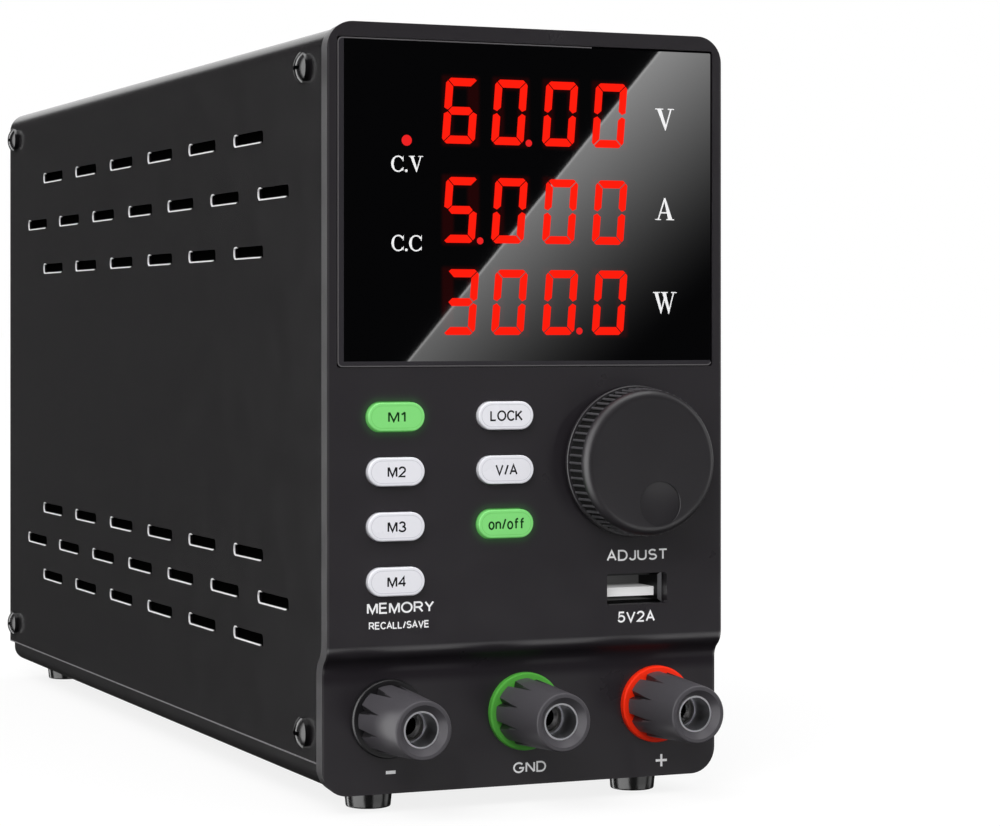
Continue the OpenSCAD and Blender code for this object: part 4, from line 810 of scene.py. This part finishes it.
# A cap: tapered outside with V-shaped notches that run out towards its dished face, and hollow behind
def makeCap(s, name, body):
    centre = middle(name)
    base, reach, length, edge = s["base"], s["reach"], s["length"], s["edge"]
    bore, bottom, skirt = s["bore"], s["bottom"], s["skirt"]
    taper = (s["baseRadius"] - s["faceRadius"]) / (reach - base)
    step = 2 * pi / s["notches"]

    def ring(radius, out, grip=0.0):
        points = []
        wide = max(grip * s["width"] / 2 / radius, 0.004)
        for k in range(s["notches"]):
            for part, depth in ((-1, 0), (-0.5, 0.5), (0, 1), (0.5, 0.5), (1, 0)):
                points.append((k * step + part * wide, radius - depth * grip * s["depth"]))
            for i in range(1, s["between"] + 1):
                points.append((k * step + wide + (step - 2 * wide) * i / (s["between"] + 1), radius))
        return [onCase(centre.x + r * cos(a), s["face"] - out, centre.z + r * sin(a)) for a, r in points]

    def outside(out):
        return s["baseRadius"] - taper * (out - base)

    rings = [ring(bore, bottom), ring(skirt, bottom), ring(skirt, base)]
    rings += [ring(outside(base) - 0.15, base, 1.0), ring(outside(base), base + 0.15, 0.98)]
    for i in range(1, 9):
        out = base + length * i / 8
        rings.append(ring(outside(out), out, 1 - i / 8))
    for a in range(0, 91, 15):
        a = radians(a)
        rings.append(ring(outside(reach) - edge + edge * cos(a), reach - edge + edge * sin(a)))
    rings += [ring(s["dishRadius"], reach), ring(bore, reach - s["dish"]), ring(bore, bottom)]
    count = len(rings[0])
    points, faces = skin(rings)
    mesh = closedMesh(name + "Turned", points, [f for f in faces if len(f) < count])
    addPiece(name + "Turned", mesh, "capPlastic", body, [name], 24)

    # The notches get a darker finish, a painted shade
    def inNotch(away, y):
        out = s["face"] - y
        return skirt - 0.2 < away < outside(out) - 0.12 and base + 0.1 < out < base + length

    paintFaces(mesh, "capGroove", centre, inNotch)


for name in ("negative_cap", "ground_cap", "positive_cap"):
    makeCap(postCaps, name, nodeBody[name])


# Flat shapes of (x, z) points as one thin plate that grows towards the back; shapes that overlap
# each get a lift of their own
def plate(name, shapes, y, thick, finish, body="case", lifts=None):
    points, faces = [], []
    for i, shape in enumerate(shapes):
        start = len(points)
        points += [onCase(x, y - (lifts[i] if lifts else 0), z) for x, z in shape]
        faces.append(tuple(range(start, len(points))))

    def thicken(work):
        bmesh.ops.remove_doubles(work, verts=work.verts, dist=2e-7)
        work.normal_update()
        for face in work.faces:
            if face.normal.y > 0:
                face.normal_flip()
        made = bmesh.ops.extrude_face_region(work, geom=list(work.faces), use_keep_orig=True)
        for v in made["geom"]:
            if isinstance(v, bmesh.types.BMVert):
                v.co.y += thick * mm
        bmesh.ops.recalc_face_normals(work, faces=work.faces)

    addPiece(name, rework(newMesh(name, points, faces), thicken), finish, body)


def bend(cx, cz, rx, rz, start, end, steps=12):
    turns = (radians(start + (end - start) * i / steps) for i in range(steps + 1))
    return [(cx + rx * cos(a), cz + rz * sin(a)) for a in turns]


# Plain sans-serif letters as the middle lines of their strokes, in a box one unit high
plainLetters = {
    "A": [[(0, 0), (0.34, 1), (0.68, 0)], [(0.11, 0.33), (0.57, 0.33)]],
    "C": [bend(0.38, 0.5, 0.38, 0.5, 38, 322, 20)],
    "D": [[(0, 0), (0, 1), (0.26, 1)] + bend(0.3, 0.5, 0.36, 0.5, 80, -80) + [(0.26, 0), (0, 0)]],
    "E": [[(0.56, 1), (0, 1), (0, 0), (0.58, 0)], [(0, 0.53), (0.52, 0.53)]],
    "G": [bend(0.39, 0.5, 0.39, 0.5, 42, 330, 20) + [(0.76, 0.46), (0.42, 0.46)]],
    "J": [[(0.44, 1), (0.44, 0.3)] + bend(0.22, 0.26, 0.22, 0.26, 0, -170, 8)],
    "K": [[(0, 0), (0, 1)], [(0.6, 1), (0.02, 0.4)], [(0.2, 0.58), (0.64, 0)]],
    "L": [[(0, 1), (0, 0), (0.52, 0)]],
    "M": [[(0, 0), (0, 1)], [(0.04, 1), (0.38, 0.04), (0.72, 1)], [(0.76, 0), (0.76, 1)]],
    "N": [[(0, 0), (0, 1)], [(0.02, 1), (0.62, 0)], [(0.64, 0), (0.64, 1)]],
    "O": [bend(0.41, 0.5, 0.41, 0.5, 0, 360, 28)],
    "R": [[(0, 0), (0, 1), (0.36, 1)] + bend(0.38, 0.74, 0.24, 0.26, 80, -80, 8) + [(0.36, 0.48), (0, 0.48)],
          [(0.36, 0.48), (0.66, 0)]],
    "S": [bend(0.31, 0.745, 0.27, 0.255, 30, 250, 14) + bend(0.31, 0.26, 0.3, 0.26, 70, -150, 14)],
    "T": [[(0, 1), (0.64, 1)], [(0.32, 1), (0.32, 0)]],
    "U": [[(0, 1), (0, 0.34)] + bend(0.32, 0.33, 0.32, 0.33, 185, 355) + [(0.64, 0.34), (0.64, 1)]],
    "V": [[(0, 1), (0.34, 0), (0.68, 1)]],
    "Y": [[(0, 1), (0.33, 0.45), (0.66, 1)], [(0.33, 0.48), (0.33, 0)]],
    "n": [[(0, 0), (0, 0.7)], [(0, 0.42)] + bend(0.22, 0.46, 0.21, 0.24, 160, 5, 8) + [(0.43, 0)]],
    "o": [bend(0.24, 0.35, 0.24, 0.36, 0, 360, 20)],
    "f": [[(0.13, 0), (0.13, 0.82)] + bend(0.3, 0.82, 0.17, 0.18, 170, 75, 6), [(0, 0.68), (0.34, 0.68)]],
    "/": [[(0, 0), (0.3, 1)]],
    "1": [[(0, 0.76), (0.14, 0.84), (0.26, 1)], [(0.26, 1), (0.26, 0)]],
    "2": [bend(0.29, 0.71, 0.27, 0.29, 170, -40) + [(0.02, 0), (0.58, 0)]],
    "3": [bend(0.27, 0.75, 0.24, 0.25, 160, -85), bend(0.27, 0.26, 0.29, 0.26, 88, -165)],
    "4": [[(0.44, 0), (0.44, 1), (0, 0.3), (0.6, 0.3)]],
    "5": [[(0.52, 1), (0.12, 1), (0.05, 0.5)] + bend(0.27, 0.32, 0.28, 0.32, 135, -160)],
}


# A line of points widened into four-sided pieces with mitred joints
def strokeStrip(points, thick):
    closed = dist(points[0], points[-1]) < 1e-6
    if closed:
        points = points[:-1]
    count = len(points)
    sides = []
    for i, (x, z) in enumerate(points):
        normals = []
        for a, b in ((i - 1, i), (i, i + 1)):
            if closed or 0 <= a < b < count:
                (x0, z0), (x1, z1) = points[a % count], points[b % count]
                long = dist((x0, z0), (x1, z1))
                normals.append(((z0 - z1) / long, (x1 - x0) / long))
        nx, nz = (sum(n[k] for n in normals) for k in (0, 1))
        grow = thick / 2
        if len(normals) == 2:
            grow *= min(2 / max(nx * nx + nz * nz, 1e-3), 2.2 / hypot(nx, nz))
        sides.append(((x + nx * grow, z + nz * grow), (x - nx * grow, z - nz * grow)))
    pairs = [(i, (i + 1) % count) for i in range(count if closed else count - 1)]
    return [[sides[i][0], sides[j][0], sides[j][1], sides[i][1]] for i, j in pairs]


# A word in plain letters, fitted into the box from low to high (x, z) on the surface at y
def word(name, text, low, high, y, finish, body, thick=0.3, gap=0.24):
    pen, lines = 0.0, []
    for letter in text:
        lines += [[(pen + x, z) for x, z in line] for line in plainLetters[letter]]
        pen = max(x for line in lines for x, z in line) + gap
    wide = pen - gap
    tall = max(z for line in lines for x, z in line)
    sx = (high[0] - low[0] - thick) / wide
    sz = (high[1] - low[1] - thick) / tall
    shapes, lifts = [], []
    for k, line in enumerate(lines):
        strip = strokeStrip([(low[0] + thick / 2 + x * sx, low[1] + thick / 2 + z * sz) for x, z in line], thick)
        shapes += strip
        lifts += [0.0015 * (k % 6)] * len(strip)
    plate(name, shapes, y, 0.03, finish, body, lifts)


def disc(x, z, r, steps=24):
    return bend(x, z, r, r, 0, 360, steps)[:-1]


def box2d(x0, x1, z0, z1):
    return [(x0, z0), (x1, z0), (x1, z1), (x0, z1)]


windowFace = caseBox("display_window")[0].y
digits = {
    "width": 7.2, "height": 13.3, "stroke": 1.62, "gap": 0.13, "cut": 0.9, "lean": 4.5, "proud": 0.02, "thick": 0.06,
    "middles": (-15.3, -4.5, 6.85, 18.1),
    "rows": (137.75, 117.7, 99.05),
    "readings": ("6000", "5000", "3000"),
    "points": ((-0.2, 131.6), (-11.0, 111.5), (11.2, 93.2)),
    "pointSize": 0.72, "lamp": (-27.0, 131.5), "lampSize": 1.1,
    "glow": 0.013, "glowTone": (255, 20, 10), "glowReach": 1.2,
}
litSegments = {"0": "abcdef", "3": "abcdg", "5": "acdfg", "6": "acdefg"}


def segmentShapes(s):
    w, h, t, g, cut = s["width"] / 2, s["height"] / 2, s["stroke"], s["gap"], s["cut"]
    top = [(-w + cut + g, h), (w - cut - g, h), (w - 0.45 * cut - g, h - 0.45 * cut), (w - t - g, h - t),
           (-w + t + g, h - t), (-w + 0.45 * cut + g, h - 0.45 * cut)]
    upper = [(w, t * 0.3 + g), (w, h - cut - g), (w - 0.45 * cut, h - 0.45 * cut - g), (w - t, h - t - g),
             (w - t, t / 2 + g), (w - t / 2, g * 1.6)]
    middleBar = [(-w + t / 2 + g, 0), (-w + t + g * 0.6, t / 2), (w - t - g * 0.6, t / 2), (w - t / 2 - g, 0),
                 (w - t - g * 0.6, -t / 2), (-w + t + g * 0.6, -t / 2)]
    shapes = {"a": top, "g": middleBar, "b": upper}
    shapes["d"] = [(x, -z) for x, z in top]
    shapes["c"] = [(x, -z) for x, z in upper]
    shapes["f"] = [(-x, z) for x, z in upper]
    shapes["e"] = [(-x, -z) for x, z in upper]
    return shapes


def makeDigits(s):
    shapes = segmentShapes(s)
    lean = tan(radians(s["lean"]))
    plates = []
    for row, (z0, reading) in enumerate(zip(s["rows"], s["readings"])):
        made = [[(x0 + x + z * lean, z0 + z) for x, z in shapes[segment]]
                for x0, digit in zip(s["middles"], reading) for segment in litSegments[digit]]
        plates.append((f"litDigits{row + 1}", made, "digitGlow"))
    plates.append(("decimalPoints", [disc(*point, s["pointSize"]) for point in s["points"]], "pointGlow"))
    plates.append(("modeLight", [disc(*s["lamp"], s["lampSize"])], "pointGlow"))
    for name, made, finish in plates:
        plate(name, made, windowFace - s["proud"], s["thick"], finish, "case")


makeDigits(digits)


# The digits' red light in the window round their strokes
def addDigitGlow(s):
    tree, shader = shaderOf("windowAcrylic")
    x, y, z = axesOf(tree)
    x = calc("DIVIDE", x, mm)
    z = calc("DIVIDE", minus(z, caseUnder), mm)
    first, last = s["middles"][0], s["middles"][-1]
    pitch = (last - first) / (len(s["middles"]) - 1)
    across = calc("ABSOLUTE", calc("WRAP", minus(x, first), pitch / 2, -pitch / 2))
    up = 99.0
    for row in s["rows"]:
        up = calc("MINIMUM", calc("ABSOLUTE", minus(z, row)), up)
    w, h, t = s["width"] / 2, s["height"] / 2, s["stroke"]
    outX = calc("MAXIMUM", minus(across, w), 0.0)
    outZ = calc("MAXIMUM", minus(up, h), 0.0)
    outside = calc("SQRT", calc("MULTIPLY_ADD", outX, outX, times(outZ, outZ)))
    inside = calc("MINIMUM", minus(w - t, across), minus(h - t, up))
    away = calc("ADD", outside, calc("MAXIMUM", inside, 0.0))
    soft = fade(away, 0.0, s["glowReach"], 1.0, 0.0)
    offMiddle = calc("ABSOLUTE", minus(x, (first + last) / 2))
    inRow = calc("LESS_THAN", offMiddle, pitch * len(s["middles"]) / 2)
    shader.inputs["Emission Color"].default_value = shade(*s["glowTone"])
    join(tree, times(soft, soft, inRow, s["glow"]), shader.inputs["Emission Strength"])


addDigitGlow(digits)

windowEdges = {"left": 1.05, "bottom": 0.8, "bevel": 0.3, "line": 0.24, "lineIn": 0.14, "topTo": 14.0, "corner": 0.9}


# Painted highlights where the window's edge catches the light: a lighter strip on the left and along the bottom, and
# a line along the edge
def makeWindowSheen(s):
    low, high = caseBox("display_window")
    x0, x1, z0, z1 = (low.x + s["bevel"], high.x - s["bevel"], low.z + s["bevel"], high.z - s["bevel"])
    shapes = [box2d(x0, x1, z0, z0 + s["bottom"]), box2d(x0, x0 + s["left"], z0 + s["bottom"], z1)]
    plate("windowMargin", shapes, windowFace - 0.012, 0.05, "windowMargin")
    a, r = s["lineIn"], s["corner"]
    left, top, under = low.x + a, high.z - a, low.z + a
    path = [(s["topTo"], top)] + bend(left + r, top - r, r, r, 90, 180, 5)
    path += bend(left + r, under + r, r, r, 180, 270, 5)
    path += [(high.x - a - r, under)] + bend(high.x - a - r, under + r, r, r, 275, 340, 4)
    plate("windowEdgeLine", strokeStrip(path, s["line"]), windowFace - 0.02, 0.05, "windowLine")


makeWindowSheen(windowEdges)


# Roman capitals with thick and thin strokes, each drawn in a box one unit wide and high
def crescent(cx, cz, rx, rz, thick, start, end, steps=18):
    outer, inner = [], []
    for i in range(steps + 1):
        a = radians(start + (end - start) * i / steps)
        heavy = thick * (0.35 + 0.65 * abs(cos(a)))
        outer.append((cx + rx * cos(a), cz + rz * sin(a)))
        inner.append((cx + (rx - heavy) * cos(a), cz + (rz - 0.42 * thick) * sin(a)))
    return [[outer[i], outer[i + 1], inner[i + 1], inner[i]] for i in range(steps)]


romanCapitals = {
    "V": [[(0.08, 1), (0.31, 1), (0.60, 0.16), (0.53, 0)], [(0.80, 1), (0.88, 1), (0.55, 0), (0.50, 0.05)],
          box2d(0, 0.42, 0.955, 1), box2d(0.66, 1, 0.955, 1)],
    "A": [[(0.12, 0), (0.19, 0), (0.50, 0.86), (0.47, 1)], [(0.45, 1), (0.54, 1), (0.92, 0), (0.69, 0)],
          [(0.25, 0.30), (0.74, 0.30), (0.72, 0.36), (0.27, 0.36)],
          box2d(0, 0.31, 0, 0.045), box2d(0.58, 1, 0, 0.045)],
    "W": [[(0.05, 1), (0.20, 1), (0.38, 0.15), (0.33, 0)], [(0.30, 0.05), (0.34, 0), (0.53, 0.78), (0.49, 0.86)],
          [(0.38, 1), (0.53, 1), (0.71, 0.15), (0.66, 0)], [(0.63, 0.05), (0.67, 0), (0.90, 1), (0.85, 1)],
          box2d(0, 0.29, 0.955, 1), box2d(0.33, 0.62, 0.955, 1),
          box2d(0.76, 1, 0.955, 1)],
    "C": crescent(0.54, 0.5, 0.54, 0.5, 0.2, 38, 322) + [
        [(0.90, 0.66), (0.96, 0.66), (0.96, 1.0), (0.90, 0.9)],
        [(0.93, 0.05), (0.97, 0.30), (0.92, 0.30), (0.86, 0.16)],
    ],
}
unitMarks = {
    "unitV": (("V", 28.6, 135.0, 4.4, 4.6),),
    "unitA": (("A", 28.6, 116.35, 4.4, 4.6),),
    "unitW": (("W", 28.1, 96.75, 5.5, 4.6),),
    "modeVoltage": (("C", -30.35, 125.1, 2.75, 3.3), (".", -27.1, 125.4, 0.3, 0.3), ("V", -26.55, 125.1, 3.1, 3.3)),
    "modeCurrent": (("C", -30.3, 109.2, 2.75, 3.3), (".", -27.1, 109.5, 0.3, 0.3), ("C", -26.5, 109.2, 2.85, 3.3)),
}
for name, marks in unitMarks.items():
    shapes = []
    for letter, x0, z0, w, h in marks:
        if letter == ".":
            shapes.append(disc(x0, z0, w, 12))
        else:
            shapes += [[(x0 + x * w, z0 + z * h) for x, z in stroke] for stroke in romanCapitals[letter]]
    lifts = [0.0015 * (i % 5) for i in range(len(shapes))]
    plate(name, shapes, windowFace - 0.02, 0.04, "printWhite", lifts=lifts)
print("window's digits and marks made")

frontWords = {
    "adjustWord": ("ADJUST", (17.4, 45.55), (31.45, 47.85), -0.02, 0.37),
    "socketWords": ("5V2A", (19.85, 32.75), (28.5, 35.05), -0.02, 0.37),
    "memoryWord": ("MEMORY", (-35.55, 36.6), (-21.1, 38.85), -0.02, 0.37),
    "recallWords": ("RECALL/SAVE", (-35.15, 33.5), (-22.15, 35.0), -0.02, 0.26),
    "groundWord": ("GND", (-2.4, 2.45), (5.0, 4.7), 2.98, 0.37),
}
for name, (text, low, high, y, thick) in frontWords.items():
    word(name, text, low, high, y, "printWhite", "case", thick)

terminalSigns = {"y": 2.98, "width": 2.6, "bar": 0.5, "plus": (31.5, 3.2), "minus": (-29.3, 4.3),
                 "minusSize": (2.1, 0.66)}


def makeSigns(s):
    half, thin = s["width"] / 2, s["bar"] / 2
    x, z = s["plus"]
    arms = [box2d(x - half, x + half, z - thin, z + thin), box2d(x - thin, x + thin, z + thin, z + half),
            box2d(x - thin, x + thin, z - half, z - thin)]
    x, z = s["minus"]
    w, h = s["minusSize"]
    signs = {"plusSign": arms, "minusSign": [box2d(x - w / 2, x + w / 2, z - h / 2, z + h / 2)]}
    for name, shapes in signs.items():
        plate(name, shapes, s["y"], 0.04, "printWhite", "case")


makeSigns(terminalSigns)

keyMarks = {
    "size": (12.2, 5.8), "inset": 0.62, "line": 0.1, "stroke": 0.35,
    "words": {
        "key_m1": ("M1", 3.75, 2.2), "key_m2": ("M2", 4.0, 2.2), "key_m3": ("M3", 4.0, 2.2),
        "key_m4": ("M4", 4.1, 2.2), "key_lock": ("LOCK", 7.2, 2.2), "key_display": ("V/A", 4.9, 2.25),
        "key_output": ("on/off", 8.0, 2.3),
    },
}


def pill(cx, cz, w, h, steps=16):
    r = h / 2
    flat = w / 2 - r
    return bend(cx + flat, cz, r, r, -90, 90, steps) + bend(cx - flat, cz, r, r, 90, 270, steps)


# Each key has a fine line just inside its rounded edge, and its mark in the middle
def makeKeyMarks(s):
    for key, (text, w, h) in s["words"].items():
        centre = middle(key)
        face = caseBox(key)[0].y
        kw, kh = s["size"]
        outer, inner = (pill(centre.x, centre.z, kw - 2 * inset, kh - 2 * inset)
                        for inset in (s["inset"], s["inset"] + s["line"]))
        count = len(outer)
        strips = [[outer[i], outer[(i + 1) % count], inner[(i + 1) % count], inner[i]] for i in range(count)]
        line, mark = ("keyLineLit", "printLit") if nodeSlot[key] == "key_green" else ("keyLine", "printDark")
        plate(key + "Line", strips, face - 0.008, 0.03, line, nodeBody[key])
        word(key + "Word", text, (centre.x - w / 2, centre.z - h / 2), (centre.x + w / 2, centre.z + h / 2),
             face - 0.012, mark, nodeBody[key], s["stroke"])


makeKeyMarks(keyMarks)
print("lettering made")

ventShadeSheets = {"x": 41.9, "thick": 0.3, "from": (22.0, 19.0), "to": (236.0, 148.0), "corner": 4.0}
seamLine = {"low": 6.02, "high": 6.32, "from": 7.8, "to": 263.8, "thick": 0.05, "proud": 0.012}


# The same plate on both sides, from (y, z) points, its outer face x away from the middle
def sidePlates(name, shape, x, thick, finish):
    for side, end in ((-1, "Left"), (1, "Right")):
        rings = [[onCase(side * (x + t), y, z) for y, z in shape] for t in (0, -thick)]
        addPiece(name + end, closedMesh(name + end, *skin(rings)), finish, "case")


# Painted shade: a black sheet stands inside each side of the cover, behind the vents, so that the vents look dark
def makeVentShadeSheets(s):
    (y0, z0), (y1, z1), r = s["from"], s["to"], s["corner"]
    shape = []
    for cy, cz, start in ((y1 - r, z1 - r, 0), (y0 + r, z1 - r, 90), (y0 + r, z0 + r, 180), (y1 - r, z0 + r, 270)):
        shape += bend(cy, cz, r, r, start, start + 90, 6)
    sidePlates("dustScreen", shape, s["x"], s["thick"], "screenBlack")


# A painted highlight along the cover's lower edge, above the tray, as a light strip
def makeSeamHighlight(s):
    shape = box2d(s["from"], s["to"], s["low"], s["high"])
    sidePlates("seamLine", shape, s["proud"] - caseBox("cover_shell")[0].x, s["thick"], "seamEdge")


makeVentShadeSheets(ventShadeSheets)
makeSeamHighlight(seamLine)
print("screens and seam made")
